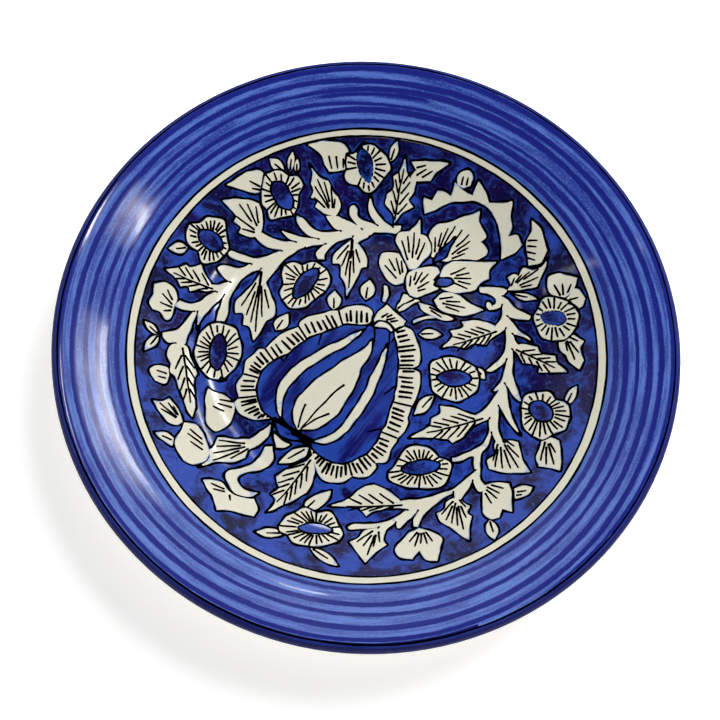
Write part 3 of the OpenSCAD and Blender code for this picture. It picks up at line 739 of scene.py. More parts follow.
def paint_buds():
    # each bud as its outline, then its strokes
    buds = [([(-38.4, 93.9, 1), (-31, 96.3), (-24, 97.3), (-19.6, 95.5), (-18, 91.1), (-18.6, 86.8, 1),
              (-22, 85.5), (-26.6, 84.5, 1), (-29.6, 87.6), (-31.6, 91)],
             [((-27.8, 91), (-25.6, 85.8)), ((-24.4, 91.4), (-23, 86.4)), ((-21, 91.1), (-20.6, 87))]),
            ([(-72, 68.9, 1), (-67.8, 72.9), (-65.6, 74.9, 1), (-62.5, 77.3), (-57.9, 78.9), (-54.4, 76.5),
              (-55.1, 70.6, 1), (-59.3, 68.5), (-65, 69)],
             [((-56.6, 72.2), (-62, 73.4)), ((-56.1, 70.9), (-60.6, 70.5))]),
            ([(-86.2, 10.1, 1), (-85.8, 14.5), (-88.1, 18.7), (-92, 20.2), (-96.4, 17.9, 1), (-96, 13.4, 1),
              (-97.4, 9.5), (-95.6, 6.4, 1), (-92.4, 6.1), (-89.5, 3.3), (-87.2, 5.5)],
             [((-87.5, 10.8), (-92.4, 14.7)), ((-87.2, 9.7), (-93, 10.7)), ((-87.7, 12.8), (-90.6, 17.1)),
              ((-87.5, 8.4), (-91.1, 7.2))]),
            ([(10, 93.1, 1), (18, 94.2), (28, 93.9, 1), (21.8, 89.2), (19.8, 85.9, 1), (14, 85.5),
              (10.4, 87), (12.4, 89.9, 1)],
             [((13, 87.8), (17.4, 90.8)), ((15.6, 87.1), (20.4, 90.2)), ((12.6, 90.8), (17, 92.3))]),
            ([(31.6, 84.9, 1), (32, 88.8), (36, 91.5), (39, 88.8), (38.4, 84.5, 1), (35, 83.5)],
             [((34, 84.8), (34.6, 88.6)), ((36.4, 84.6), (36.8, 88.2))]),
            ([(77.1, 45.5), (81, 46.9), (84.6, 45.6), (89.4, 44.5, 1), (88.6, 39.6), (86, 36.5),
              (83, 34.9, 1), (78.2, 38), (76.9, 41.5)],
             [((83.1, 36.6), (79.7, 41.9)), ((84.1, 36.8), (83.2, 42.1)), ((85.6, 37.7), (87, 41.6))]),
            ([(87.6, 40, 1), (90.8, 38.9), (93.6, 34.9, 1), (92, 31), (88, 30.5), (84.7, 33.8, 1)],
             [((86.4, 34.5), (90.6, 35.4)), ((86, 33.2), (89.6, 32))]),
            ([(-66.9, -23, 1), (-63.5, -24.6), (-58.4, -25.7), (-54.3, -28.4, 1), (-54.3, -33.1),
              (-55.5, -37.9), (-60.8, -42.7), (-65.5, -39.2), (-66.8, -33.1), (-67.6, -27.6)],
             [((-55.5, -27.7), (-61.5, -27.6)), ((-55.5, -30.5), (-62.1, -29.3)),
              ((-58.5, -32.6), (-64.1, -31.1))]),
            ([(-66.1, -18.6, 1), (-63.9, -15.1), (-61.9, -13.4, 1), (-59.9, -17.8, 1), (-61.9, -18.4)],
             [((-62.1, -16.6), (-63.1, -18.5))]),
            ([(-74.5, -41.4, 1), (-69.4, -40.9), (-65.9, -44.5, 1), (-63.5, -49.1), (-61.2, -53.3, 1),
              (-62.7, -57.5), (-67.2, -60.6), (-71.9, -59.9, 1), (-75.2, -55.3), (-76.8, -51.3),
              (-75.8, -46.9)],
             [((-65.9, -47.8), (-71.8, -44)), ((-65.2, -50.1), (-72.6, -46.3)),
              ((-64.6, -52.7), (-70.8, -49.9))]),
            ([(-92.4, -20.6), (-90.1, -18.3), (-85.2, -18.1), (-83.8, -21.5, 1), (-84.9, -25.7),
              (-89.4, -25.9, 1), (-91.6, -23.4)],
             [((-85, -21), (-89.7, -20.7)), ((-85.1, -23.2), (-88.7, -23.2))]),
            ([(-85.6, -49.5, 1), (-81, -47.9), (-77.1, -49.9, 1), (-77.5, -54), (-82.2, -52.3)],
             [((-78, -51.3), (-82.4, -50.4))]),
            ([(-62.8, -66.5, 1), (-59.1, -65.7), (-55.5, -65.7), (-51.4, -69.2, 1), (-47.5, -71.1),
              (-40.2, -71.1, 1), (-38.1, -75.9), (-38.9, -79.7, 1), (-43, -79.4), (-47.4, -78.9),
              (-54.8, -80, 1), (-57.4, -73.9), (-60.6, -69.9, 1)],
             [((-52.9, -69.2), (-59.1, -67.6)), ((-52.5, -70.3), (-57.9, -70)),
              ((-50.7, -71.2), (-49.7, -74.1))]),
            ([(31, -74.9, 1), (27.1, -77.5), (24.4, -81.6), (21.5, -86.7), (23.6, -90.3), (29.6, -90.6, 1),
              (31.6, -86.7, 1), (34.9, -90.5), (39.7, -90.8, 1), (40.2, -84.2), (41.1, -79.3),
              (36.3, -76.5)],
             [((30.5, -77), (27.1, -82.6)), ((31.1, -77.4), (29.6, -84.8)), ((32.1, -77.4), (32, -83.2)),
              ((32.9, -77.2), (34.8, -82.8)), ((33.7, -76.8), (37.1, -81.4))]),
            ([(56.9, -52.8, 1), (60.8, -51.1), (67.4, -51.4, 1), (68.5, -56.4), (69, -61.8),
              (69.4, -65.4, 1), (65.3, -64.3, 1), (63.8, -68.3, 1), (60.4, -69.3), (57.2, -66.2),
              (56.4, -59.9)],
             [((58.1, -53.5), (63.8, -56.5)), ((57.9, -54.9), (63, -59.1)), ((59.7, -52.5), (65.2, -54)),
              ((57.6, -56.6), (60.7, -61.6))]),
            ([(69.2, -54.3, 1), (72.5, -52.3), (77.3, -53.1, 1), (75, -57.3), (69.8, -59.4, 1)],
             [((70.5, -55.8), (74.6, -54.9)), ((70.3, -57.4), (73, -56.9))]),
            ([(-8.1, -61.7, 1), (-9.1, -67), (-13.3, -71.5), (-18.8, -72.9, 1), (-18, -68.3),
              (-13.9, -64.8)],
             [((-17.3, -71.4), (-14.5, -67.6))])]
    for outline, strokes in buds:
        shape("leaf", outline)
        for points in strokes:
            line(*points)


# --- Round flowers -------------------------------------------------------------------------------------
def paint_flowers():
    blossom([
        (-19.6, 89.6), (-19.4, 92.6, 1), (-16, 94), (-13.4, 97.3, 1), (-8, 98.3), (-4.8, 96.4, 1),
        (-1.4, 94.1), (0.9, 89.2), (-1.4, 85.4, 1), (-3.6, 82.1), (-8, 78.3), (-13, 80.8, 1), (-17.1, 81.1),
        (-19.4, 83.7), (-19.2, 86.8, 1)], (-10.6, 89.3), 14.4, 6.6, -68, plain=(4,))
    blossom([
        (-55, 77.8, 1), (-49, 80.8), (-44.6, 79.4, 1), (-40.4, 80.3), (-37.9, 77.3), (-39.5, 72.6, 1),
        (-39, 67.5), (-40.6, 63.6, 1), (-45.2, 61.6), (-50.6, 59.8), (-52.6, 63.1, 1), (-55.5, 65.7),
        (-56, 71.6, 1)], (-46.5, 70.8), 13, 7.4, -46)
    blossom([
        (-85.4, 48.7, 1), (-81, 50.2), (-77.8, 53.4), (-71.1, 54.5), (-69.2, 50.7, 1), (-68.2, 46),
        (-67.3, 42.7), (-69.1, 38.9, 1), (-72, 35.2), (-77.8, 33.5), (-80, 37.9, 1), (-84.4, 39.6),
        (-86, 44)], (-75.5, 44.1), 11.4, 7, -22, every=2.5)
    blossom([
        (-41.4, 40, 1), (-37.3, 42), (-33.7, 41.2, 1), (-28.5, 43), (-22.5, 40.3, 1), (-20.2, 34.9),
        (-21.6, 29.6, 1), (-26.2, 25.5, 1), (-29.7, 21.4), (-35.8, 19.4), (-40.3, 22.9, 1), (-41.8, 26.5),
        (-40.8, 30.5, 1), (-42.4, 35.1)], (-30.9, 32.6), 16.6, 7.2, 60)
    blossom([
        (-63.5, 7.6), (-58.9, 6.3), (-56.7, 2.3, 1), (-54.9, -2.8), (-55.7, -8.2, 1), (-57.5, -13.5),
        (-61.5, -17.6, 1), (-66.9, -18.7), (-71.5, -15.3, 1), (-74.8, -10.6), (-75, -4.4, 1), (-74.3, 1.5),
        (-70.5, 6.4, 1), (-67.1, 8)], (-65.3, -5.6), 16.6, 6.6, -86)
    blossom([
        (28.9, -3.7, 1), (29.3, 1.9), (33.3, 4.7, 1), (39, 5.5), (44, 3.7, 1), (48.8, 1.7), (50.5, -3.2, 1),
        (50.7, -8.4), (47.2, -12.2, 1), (41.4, -15.1), (35.3, -13.8, 1), (30.9, -10.8)], (40, -4.3), 14.4,
        7.2, 6)
    blossom([
        (73.9, 31.6, 1), (75.8, 36.2), (80.5, 36.2, 1), (86, 34.1), (89.4, 31, 1), (91.4, 27),
        (91, 22.1, 1), (86.5, 16.6), (80.9, 16.3, 1), (76.8, 17.8), (73.8, 22.8, 1), (72.4, 27.4)],
        (80.8, 26.7), 11.6, 6.6, -14)
    blossom([
        (70.5, -15.4, 1), (71.5, -9.8), (75.8, -7.7, 1), (81.7, -7.7), (84.6, -11.4, 1), (89.5, -13.8),
        (90.8, -19.9, 1), (89, -25.9), (84.1, -27.7, 1), (80.2, -30.4), (75.7, -28.5, 1), (71.4, -23.7)],
        (78.9, -16.8), 11.6, 7.4, -46)
    blossom([
        (15.3, -51.2, 1), (19.6, -44.5, 1), (22.8, -38.5), (30.6, -37.3), (36.7, -41.5, 1), (42.2, -43.8),
        (41.8, -49.7, 1), (38.7, -54.8), (33.3, -56.4), (29.3, -56.9, 1), (21.2, -56.2), (16.1, -54.2)],
        (29.3, -47), 16.4, 6, 14, every=2.7)
    blossom([
        (-28.1, -81.9, 1), (-26.6, -78.4), (-22.7, -74.7, 1), (-18.7, -71.7), (-13.1, -72.9, 1),
        (-7, -72.4), (-2.4, -78.6, 1), (-0.8, -81.9), (-2.4, -85.3, 1), (-8, -88.5), (-14.5, -89.6, 1),
        (-21, -89.3), (-24, -85.8, 1), (-27.4, -84.8)], (-12.7, -80.9), 14, 4.6, 4, every=2.7)


# --- The large half flower and its crown ---------------------------------------------------------------
def paint_crown():
    shape("crown", [
        (18.7, 71.9, 1), (17.7, 76), (17.7, 79.6, 1), (21.7, 78, 1), (23.5, 82.5, 1), (26.6, 82.1),
        (29.7, 80.7, 1), (30.6, 86.6, 1), (35, 83.1), (39.5, 81.1, 1), (41.4, 87.2, 1), (45.2, 82.7),
        (47.4, 78, 1), (52.6, 77.7), (57.7, 78.9, 1), (57.8, 72.1), (59.1, 67.5), (57.9, 63.9, 1),
        (61.9, 63.8), (64.4, 59.7, 1), (61.4, 56.7), (55.5, 53, 1), (55, 58.5), (53.6, 64.7), (50.9, 71),
        (46.3, 76.1), (40.9, 78.5), (34.3, 78.2), (27.7, 76.4), (22.7, 73.6)])
    shape("crown", [
        (23.6, 52.3, 1), (22, 57.7), (22.2, 62.9), (24.6, 67.5), (28.6, 68.9, 1), (31.6, 69.9),
        (35.2, 71.2, 1), (39.1, 72.7), (43.7, 75, 1), (44.1, 70), (48, 63.9), (46, 61.2, 1), (49.3, 57.3),
        (48.9, 54.9), (45.3, 52.8, 1), (37.3, 51.2), (30.3, 50.6)])
    shape("crown", [
        (28.9, 44.4, 1), (30.3, 48.6), (34.3, 51.4), (42.3, 52), (54.3, 52.5, 1), (51, 48.5),
        (51.2, 44.3, 1), (48, 42.1), (46, 38.9, 1), (40.4, 36.6), (33.3, 36.2), (29.3, 38.6)], 1)
    shape("eye", [
        (25.6, 49.7, 1), (26.8, 54.3), (30.5, 58.1), (34, 62.6, 1), (32.1, 56.9), (29.7, 52.6)], 1)
    shape("eye", [(27.2, 39.2, 1), (28.9, 42.2), (33.9, 42.6), (35.3, 41, 1), (32.3, 39)], 2)
    rays((25.8, 50.1), (25, 61.9), (27.6, 64.3), (30.2, 66.6), (33.4, 67.8), near=0.3)
    rays((27.6, 49.5), (36.8, 66.3), (40.2, 64.3), (40.9, 61.3), (40.5, 58.2), (39.3, 55.4), near=0.42)
    rays((30.3, 42.6), (40.3, 48.9), (42.4, 46.5), (43.4, 43.9), (43.4, 41.2), (42, 38.8), near=0.3)
    petals = [([(13.1, 38.2, 1), (9.1, 37), (4.6, 40.2), (0.8, 46.3), (1.4, 51.1), (6.1, 52.5),
                (11.1, 51.7), (13.1, 48.1), (13.5, 42.6)],
               0, (13.1, 36.6), [(3.4, 45.7), (5, 49.1), (8.1, 50.1), (10.7, 49.1)]),
              ([(14.5, 45.1, 1), (10.1, 53.1), (7.1, 58.1), (8.1, 62.3), (12.9, 63.6, 1), (15.5, 66.4),
                (17.3, 69.9, 1), (18.4, 63.1, 1), (21.2, 61.9), (23.2, 59, 1), (23.8, 55.1), (21.6, 50.7),
                (17.8, 45.7)],
               1, (16.1, 43.6), [(9.9, 58.7), (12.3, 61.1), (15.1, 63.2), (18, 60.6), (20.6, 59)]),
              ([(16.4, 32.6, 1), (14.1, 37.6), (14.1, 43.2), (18.2, 46.3), (22.8, 47.3), (27, 47.8),
                (29.1, 45, 1), (26.2, 41.4, 1), (29.3, 37.4, 1), (24.2, 34.2), (19.6, 32)],
               1, (16.1, 33.6),
               [(15.7, 42.2), (18.2, 44.4), (21, 44.6), (23.8, 44.2), (24.4, 40.4), (23.2, 36.6)]),
              ([(27.3, 31.8, 1), (30.7, 35.6), (35.3, 36.2), (39, 35.4, 1), (42.4, 32.5), (50.3, 29.3, 1),
                (46.4, 27.1), (41.4, 25.7), (35.3, 25.9), (29.3, 28.1)],
               1, (25.2, 31.2), [(36.1, 34.2), (39.4, 32.1), (42, 29.5), (39.4, 27.5)]),
              ([(20.6, 30.2, 1), (25.2, 29.1), (31.3, 26.3), (37.9, 23.7, 1), (33.3, 22.1), (27.3, 23.9),
                (22.2, 26.5)],
               0, (20.2, 30), [(32.9, 25.3), (31.7, 23.7)]),
              ([(13.5, 33.2, 1), (18.2, 32.6), (21.8, 30.8, 1), (18.2, 28.6), (14.7, 25.5), (11.7, 24.1, 1),
                (12.1, 28.6)],
               0, (21.2, 32.6), [(14.5, 28.4)]),
              ([(4, 36, 1), (5.9, 35.8), (6.7, 31.6), (5.7, 28, 1), (4, 28.6), (4.4, 32.6)], 0, None, []),
              ([(19.2, 19.5, 1), (24.2, 21.9), (29.1, 23.1, 1), (28.3, 24.5), (22.2, 22.7), (18.8, 20.9)],
               0, None, [])]
    for outline, level, base, ends in petals:
        shape("crown", outline, level)
        if ends:
            rays(base, *ends, near=0.34)


# --- The rim, its stripes and the ring lines ------------------------------------------------------------
TURN_STEP = 0.5       # degrees between the points of a line round the plate
TURN = np.arange(0, 360, TURN_STEP)


def by_angle(stations, angles):
    """A value round the plate, eased between stations of angle and value."""
    at, value = np.array(sorted(stations)).T
    i = np.clip(np.searchsorted(at, angles, side="right") - 1, 0, len(at) - 2)
    t = np.clip((angles - at[i]) / (at[i + 1] - at[i]), 0, 1)
    return value[i] + (value[i + 1] - value[i]) * t * t * (3 - 2 * t)


def tremble(angles, size, turns, phase):
    """Small unevenness of a line drawn while the plate turned on the wheel."""
    a = np.radians(angles)
    return size * (np.sin(turns * a + phase) + 0.6 * np.sin((2 * turns + 3) * a + 2 * phase)
                   + 0.4 * np.sin((5 * turns + 7) * a + 3 * phase))


def strip_faces(n, k, closed):
    """Faces of a strip of n rows of k points over a second one like it, walled in along its sides."""
    m = n * k
    faces = []
    for i in range(n if closed else n - 1):
        p, q = i * k, (i + 1) % n * k
        for j in range(k - 1):
            quad = (p + j, p + j + 1, q + j + 1, q + j)
            faces += [quad, tuple(v + m for v in reversed(quad))]
        faces.append((p, q, q + m, p + m))
        faces.append((q + k - 1, p + k - 1, p + k - 1 + m, q + k - 1 + m))
    return faces


def band(inner, outer, top, bottom, rows):
    """A closed coat between two radii that may change round the plate."""
    share = np.linspace(0, 1, rows)
    radius = inner[:, None] + (outer - inner)[:, None] * share
    a = np.radians(TURN)[:, None]
    xy = np.stack([radius * np.cos(a), radius * np.sin(a)], -1).reshape(-1, 2)
    edge = np.minimum(radius - inner[:, None], outer[:, None] - radius).ravel()
    upper, normals = drape(xy, np.where(edge < 1e-6, top - 0.02, top))
    lower, _ = drape(xy, bottom)
    faces = strip_faces(len(TURN), rows, True)
    return np.vstack([upper, lower]), np.vstack([normals, -normals]), faces, np.concatenate([edge, edge])


def ring_line(stations, width, top, turns, phase):
    """A line drawn all the way round at a slowly changing radius."""
    radius = by_angle(stations, TURN) + tremble(TURN, 0.06, turns, phase)
    a = np.radians(TURN)
    path = np.column_stack([radius * np.cos(a), radius * np.sin(a)])
    half = width / 2 * (1 + tremble(TURN, 0.10, turns + 4, phase + 1))
    return ribbon(path, half, top, closed=True)


SWEEP = np.array([-1, -0.75, -0.45, 0, 0.45, 0.75, 1])    # points across a stroke, -1 and 1 at its sides
FRAY = 0.5            # the paint of a stroke runs out over this much beyond each side
SAG = 0.02            # the sides of a stroke lie this much lower than its middle
STROKE = 0.1          # thickness of a stroke


def sweep(stations, top):
    """A watery brush stroke along the rim. Stations are angle, radius, width and strength of the paint."""
    first, last = stations[0][0], stations[-1][0]
    angles = np.arange(first, last + TURN_STEP / 2, TURN_STEP)
    radius, width, strength = (by_angle([(s[0], s[k]) for s in stations], angles) for k in (1, 2, 3))
    radius = radius + tremble(angles, 0.07, 5, radius[0])
    width = width * (1 + tremble(angles, 0.06, 9, radius[0] + 1))
    a = np.radians(angles)[:, None]
    r = radius[:, None] + (width / 2 + FRAY)[:, None] * SWEEP
    xy = np.stack([r * np.cos(a), r * np.sin(a)], -1).reshape(-1, 2)
    n, k = len(angles), len(SWEEP)
    upper, normals = drape(xy, np.tile(top - SAG * SWEEP ** 2, n))
    lower, _ = drape(xy, top - STROKE)
    edge = (1 - strength[:, None] * (1 - np.abs(SWEEP) ** 2)).ravel()
    faces = strip_faces(n, k, False)
    m, e = n * k, (n - 1) * k
    faces.append(tuple(range(k))[::-1] + tuple(range(m, m + k)))
    faces.append(tuple(range(e, e + k)) + tuple(range(m + e, m + e + k))[::-1])
    return np.vstack([upper, lower]), np.vstack([normals, -normals]), faces, np.concatenate([edge, edge])


# --- The cobalt ground of the well ----------------------------------------------------------------------
AWAY = 9.0            # edge value of points that are far from every motif


def ground_film(cells=250):
    """The painted floor and wall of the well, as a square grid bent into a disc."""
    u, v = np.meshgrid(np.linspace(-1, 1, cells + 1), np.linspace(-1, 1, cells + 1))
    x, y = u * np.sqrt(1 - v * v / 2), v * np.sqrt(1 - u * u / 2)
    xy = GROUND_R * np.column_stack([x.ravel(), y.ravel()])
    edge = gap_to(tree_of(np.vstack(motif_edges)[::2]), xy, AWAY)
    upper, normals = drape(xy, 0)
    n = cells + 1
    i, j = (k.ravel() for k in np.meshgrid(np.arange(cells), np.arange(cells), indexing="ij"))
    quads = np.column_stack([i * n + j, i * n + j + 1, (i + 1) * n + j + 1, (i + 1) * n + j])
    faces = [tuple(q) for q in quads.tolist()]
    loop = ([(0, k) for k in range(cells)] + [(k, cells) for k in range(cells)]
            + [(cells, k) for k in range(cells, 0, -1)] + [(k, 0) for k in range(cells, 0, -1)])
    loop = [a * n + b for a, b in loop]
    under, under_faces = coarse_under(loop, xy, n * n)
    lower, low_normals = drape(under, -COAT)
    return (np.vstack([upper, lower]), np.vstack([normals, -low_normals]), faces + under_faces,
            np.concatenate([edge, np.full(len(under), AWAY)]))


def coarse_under(loop, xy, start):
    """Underside of the ground, as a few rings drawn in from its edge to the middle."""
    shares = np.linspace(1, 0, 14)[:-1]
    n = len(loop)
    points = np.vstack([xy[loop] * s for s in shares] + [[(0.0, 0.0)]])
    faces = [(loop[(i + 1) % n], loop[i], start + i, start + (i + 1) % n) for i in range(n)]
    for k in range(len(shares) - 1):
        a, b = start + k * n, start + (k + 1) * n
        faces += [(a + (i + 1) % n, a + i, b + i, b + (i + 1) % n) for i in range(n)]
    a, middle = start + (len(shares) - 1) * n, start + len(shares) * n
    faces += [(a + (i + 1) % n, a + i, middle) for i in range(n)]
    return points, faces


# --- Materials ------------------------------------------------------------------------------------------
def rgb(r, g, b):
    """Linear colour from its usual 0-255 values."""
    return tuple(((c / 255 + 0.055) / 1.055) ** 2.4 if c > 10 else c / 255 / 12.92 for c in (r, g, b))


class Look:
    """A glazed or bare material put together from nodes, in the plate's own coordinates."""

    def __init__(self, name, rough=0.3, coat=1.0, waves=0.06):
        self.material = bpy.data.materials.new(name)
        self.material.use_nodes = True
        self.tree = self.material.node_tree
        self.surface = self.tree.nodes["Principled BSDF"]
        for socket, value in (("Roughness", rough), ("Coat Weight", coat), ("Coat Roughness", 0.08),
                              ("Specular IOR Level", 0.0)):
            self.surface.inputs[socket].default_value = value
        self.place = self.tree.nodes.new("ShaderNodeTexCoord").outputs["Object"]
        if waves:      # shallow waves of the glaze, in millimetres
            height = self.math("ADD", self.noise(14, 1), self.times(self.noise(3.2, 2), 0.10))
            bump = self.tree.nodes.new("ShaderNodeBump")
            bump.inputs["Strength"].default_value = 1.0
            bump.inputs["Distance"].default_value = waves * MM
            self.tree.links.new(height, bump.inputs["Height"])
            self.tree.links.new(bump.outputs[0], self.surface.inputs["Normal"])
            self.tree.links.new(bump.outputs[0], self.surface.inputs["Coat Normal"])

    def put(self, socket, value):
        """Link an output to a socket, or set the socket to a constant."""
        if isinstance(value, bpy.types.NodeSocket):
            self.tree.links.new(value, socket)
        elif isinstance(value, tuple):
            socket.default_value = value if len(socket.default_value) == len(value) else (*value, 1)
        else:
            socket.default_value = value
        return self

    def math(self, kind, a, b=0.0):
        """One step of arithmetic on a and b."""
        node = self.tree.nodes.new("ShaderNodeMath")
        node.operation = kind
        self.put(node.inputs[0], a).put(node.inputs[1], b)
        return node.outputs[0]

    def times(self, a, b):
        return self.math("MULTIPLY", a, b)

    def vector(self, kind, a, b=(0.0, 0.0, 0.0), scale=None):
        """One step of vector arithmetic on a and b, or on a and a scale."""
        node = self.tree.nodes.new("ShaderNodeVectorMath")
        node.operation = kind
        self.put(node.inputs[0], a).put(node.inputs[1], b)
        if scale is not None:
            self.put(node.inputs["Scale"], scale)
        return node.outputs["Value" if kind == "LENGTH" else "Vector"]

    def noise(self, size, detail=2, rough=0.5, at=None, bend=0.0):
        """Noise of about 0 to 1, its blotches about size millimetres across unless a place is given."""
        node = self.tree.nodes.new("ShaderNodeTexNoise")
        self.put(node.inputs["Vector"], self.place if at is None else at)
        for socket, value in (("Scale", 1 / (size * MM) if at is None else 1.0), ("Detail", detail),
                              ("Roughness", rough), ("Distortion", bend)):
            node.inputs[socket].default_value = value
        return node.outputs["Fac"]

    def ramp(self, value, low, high):
        """0 below low and 1 above high, smooth between them. Low may be the larger one."""
        node = self.tree.nodes.new("ShaderNodeMapRange")
        node.interpolation_type = "SMOOTHSTEP"
        self.put(node.inputs["Value"], value)
        node.inputs["From Min"].default_value = low
        node.inputs["From Max"].default_value = high
        return node.outputs["Result"]

    def mix(self, share, a, b):
        """Colour a, with a share of colour b over it."""
        node = self.tree.nodes.new("ShaderNodeMix")
        node.data_type = "RGBA"
        sockets = [s for s in node.inputs if s.enabled]
        self.put(sockets[0], share).put(sockets[1], a).put(sockets[2], b)
        return next(s for s in node.outputs if s.enabled)

    def edge(self):
        """The edge value that each point of a piece carries."""
        node = self.tree.nodes.new("ShaderNodeAttribute")
        node.attribute_name = "edge_mm"
        return node.outputs["Fac"]

    def height_on_plate(self):
        """The plan coordinate along Y in millimetres."""
        node = self.tree.nodes.new("ShaderNodeSeparateXYZ")
        self.put(node.inputs[0], self.place)
        return self.math("DIVIDE", node.outputs["Y"], MM)

    def radius(self):
        """Distance from the axis in millimetres."""
        flat = self.vector("MULTIPLY", self.place, (1 / MM, 1 / MM, 0.0))
        return self.vector("LENGTH", flat)

    def round_place(self, along, outward):
        """Coordinates stretched round the plate: blotches are long by the first and narrow by the second."""
        flat = self.vector("MULTIPLY", self.place, (1 / MM, 1 / MM, 0.0))
        way = self.vector("SCALE", self.vector("NORMALIZE", flat), scale=120.0 / along)
        out = self.tree.nodes.new("ShaderNodeCombineXYZ")
        self.put(out.inputs["Z"], self.math("DIVIDE", self.radius(), outward))
        return self.vector("ADD", way, out.outputs[0])

    def along_fruit(self, along, across):
        """Coordinates stretched along the fruit in the well, whose tip points up and to the right."""
        node = self.tree.nodes.new("ShaderNodeMapping")
        node.vector_type = "TEXTURE"
        self.put(node.inputs["Vector"], self.place)
        node.inputs["Rotation"].default_value = (0, 0, math.radians(57))
        node.inputs["Scale"].default_value = (along * MM, across * MM, MM)
        return node.outputs["Vector"]

    def colour(self, value):
        """Set the base colour and hand over the finished material."""
        self.put(self.surface.inputs["Base Color"], value)
        return self.material


def cream_look():
    """Cream ground with faint specks, and a little blue that has bled in at its edge."""
    look = Look("cream glaze")
    base = look.mix(look.noise(22, 3), rgb(226, 222, 200), rgb(236, 233, 214))
    base = look.mix(look.times(look.ramp(look.noise(1.3, 3, 0.6), 0.5, 0.75), 0.35), base,
                    rgb(214, 212, 198))
    bleed = look.times(look.ramp(look.edge(), 0.75, 0.2), look.ramp(look.noise(4.5, 2), 0.45, 0.62))
    return look.colour(look.mix(look.times(bleed, 0.8), base, rgb(96, 146, 222)))


def cobalt_look(name, streaks=False):
    """Cobalt in patches, or in long streaks that run along the fruit."""
    look = Look(name)
    # thick paint in navy and purple, and royal blue where it was laid on thinner, with more of it towards
    # the near side as a painted reflection
    navy, purple, royal = rgb(8, 6, 58), rgb(22, 10, 76), rgb(42, 72, 172)
    if streaks:
        navy, purple, royal = rgb(16, 18, 96), rgb(26, 24, 108), rgb(36, 68, 164)
    base = look.mix(look.ramp(look.noise(30, 2), 0.35, 0.65), navy, purple)
    patches = look.noise(15, 4, 0.6, bend=0.5)
    if streaks:
        patches = look.noise(1, 3, 0.5, at=look.along_fruit(36, 9))
    # painted reflection: the royal blue spreads towards the near side, standing in for the haze that the
    # glaze reflects there
    blotch_and_near_sheen = look.math("ADD", patches, look.times(look.height_on_plate(), -0.0006))
    base = look.mix(look.ramp(blotch_and_near_sheen, 0.39 if streaks else 0.44, 0.61), base, royal)
    hairs = look.noise(1, 3, 0.6, at=look.along_fruit(16, 1.0)) if streaks else look.noise(2.2, 3, 0.6)
    base = look.mix(look.times(look.ramp(hairs, 0.5, 0.8), 0.5), base, rgb(62, 98, 192))
    # brighter blue in places beside the cream shapes, and small pale bubbles in the glaze
    fringe = look.times(look.ramp(look.edge(), 2.0, 0.9), look.ramp(look.noise(7, 2), 0.44, 0.62))
    base = look.mix(look.times(fringe, 0.6), base, rgb(36, 84, 188))
    specks = look.tree.nodes.new("ShaderNodeTexVoronoi")
    look.put(specks.inputs["Vector"], look.place)
    specks.inputs["Scale"].default_value = 1 / (2.6 * MM)
    dots = look.times(look.ramp(specks.outputs["Distance"], 0.09, 0.04),
                      look.ramp(look.noise(5, 1), 0.45, 0.6))
    return look.colour(look.mix(look.times(dots, 0.6), base, rgb(120, 150, 220)))


def ink_look(name, bleeding=False):
    """Black ink. Where it bleeds, stretches of the line have run out and the blue shows at its place."""
    look = Look(name)
    base = look.mix(look.noise(5, 2), rgb(12, 10, 46), rgb(24, 22, 70))
    soft = look.times(look.ramp(look.edge(), 0.62, 1.0), look.ramp(look.noise(1.6, 2), 0.35, 0.65))
    base = look.mix(look.times(soft, 0.6), base, rgb(48, 46, 92))
    if bleeding:
        blue = look.mix(look.ramp(look.noise(3, 2), 0.4, 0.6), rgb(30, 70, 176), rgb(92, 146, 226))
        base = look.mix(look.ramp(look.noise(7, 2, 0.6), 0.58, 0.63), base, blue)
    return look.colour(base)


def wash_colour(look):
    """The streaked and grainy wash, paler towards the near side as a painted reflection of the bright
    surroundings, and bluer at its inner edge.
    """
    streak = look.noise(1, 3, 0.6, at=look.round_place(26, 1.6))
    grain = look.ramp(look.noise(0.7, 3, 0.7), 0.48, 0.70)
    base = look.mix(look.ramp(streak, 0.38, 0.62), rgb(44, 66, 160), rgb(88, 120, 206))
    base = look.mix(look.times(grain, 0.5), base, rgb(126, 156, 222))
    # painted reflection: the wash turns paler towards the near side, where the glaze reflects the bright
    # surroundings
    near_side_sheen = look.times(look.ramp(look.height_on_plate(), 90.0, -120.0), 0.17)
    base = look.mix(near_side_sheen, base, rgb(150, 170, 230))
    blue = look.ramp(look.radius(), 109.0, 105.0)
    return look.mix(look.times(blue, 0.5), base, rgb(58, 94, 184))


def wash_look():
    """The light blue wash of the rim."""
    look = Look("blue wash")
    return look.colour(wash_colour(look))


def stroke_look():
    """Navy strokes that break up into grains where the paint runs out."""
    look = Look("navy stroke")
    grain = look.noise(0.9, 3, 0.7, at=look.round_place(4, 0.7))
    cover = look.math("ADD", look.edge(), look.times(look.math("SUBTRACT", grain, 0.5), 0.9))
    cover = look.ramp(cover, 0.85, 0.35)
    dark = look.mix(look.noise(1, 2, 0.5, at=look.round_place(40, 1.2)), rgb(18, 26, 116), rgb(40, 50, 150))
    return look.colour(look.mix(cover, wash_colour(look), dark))


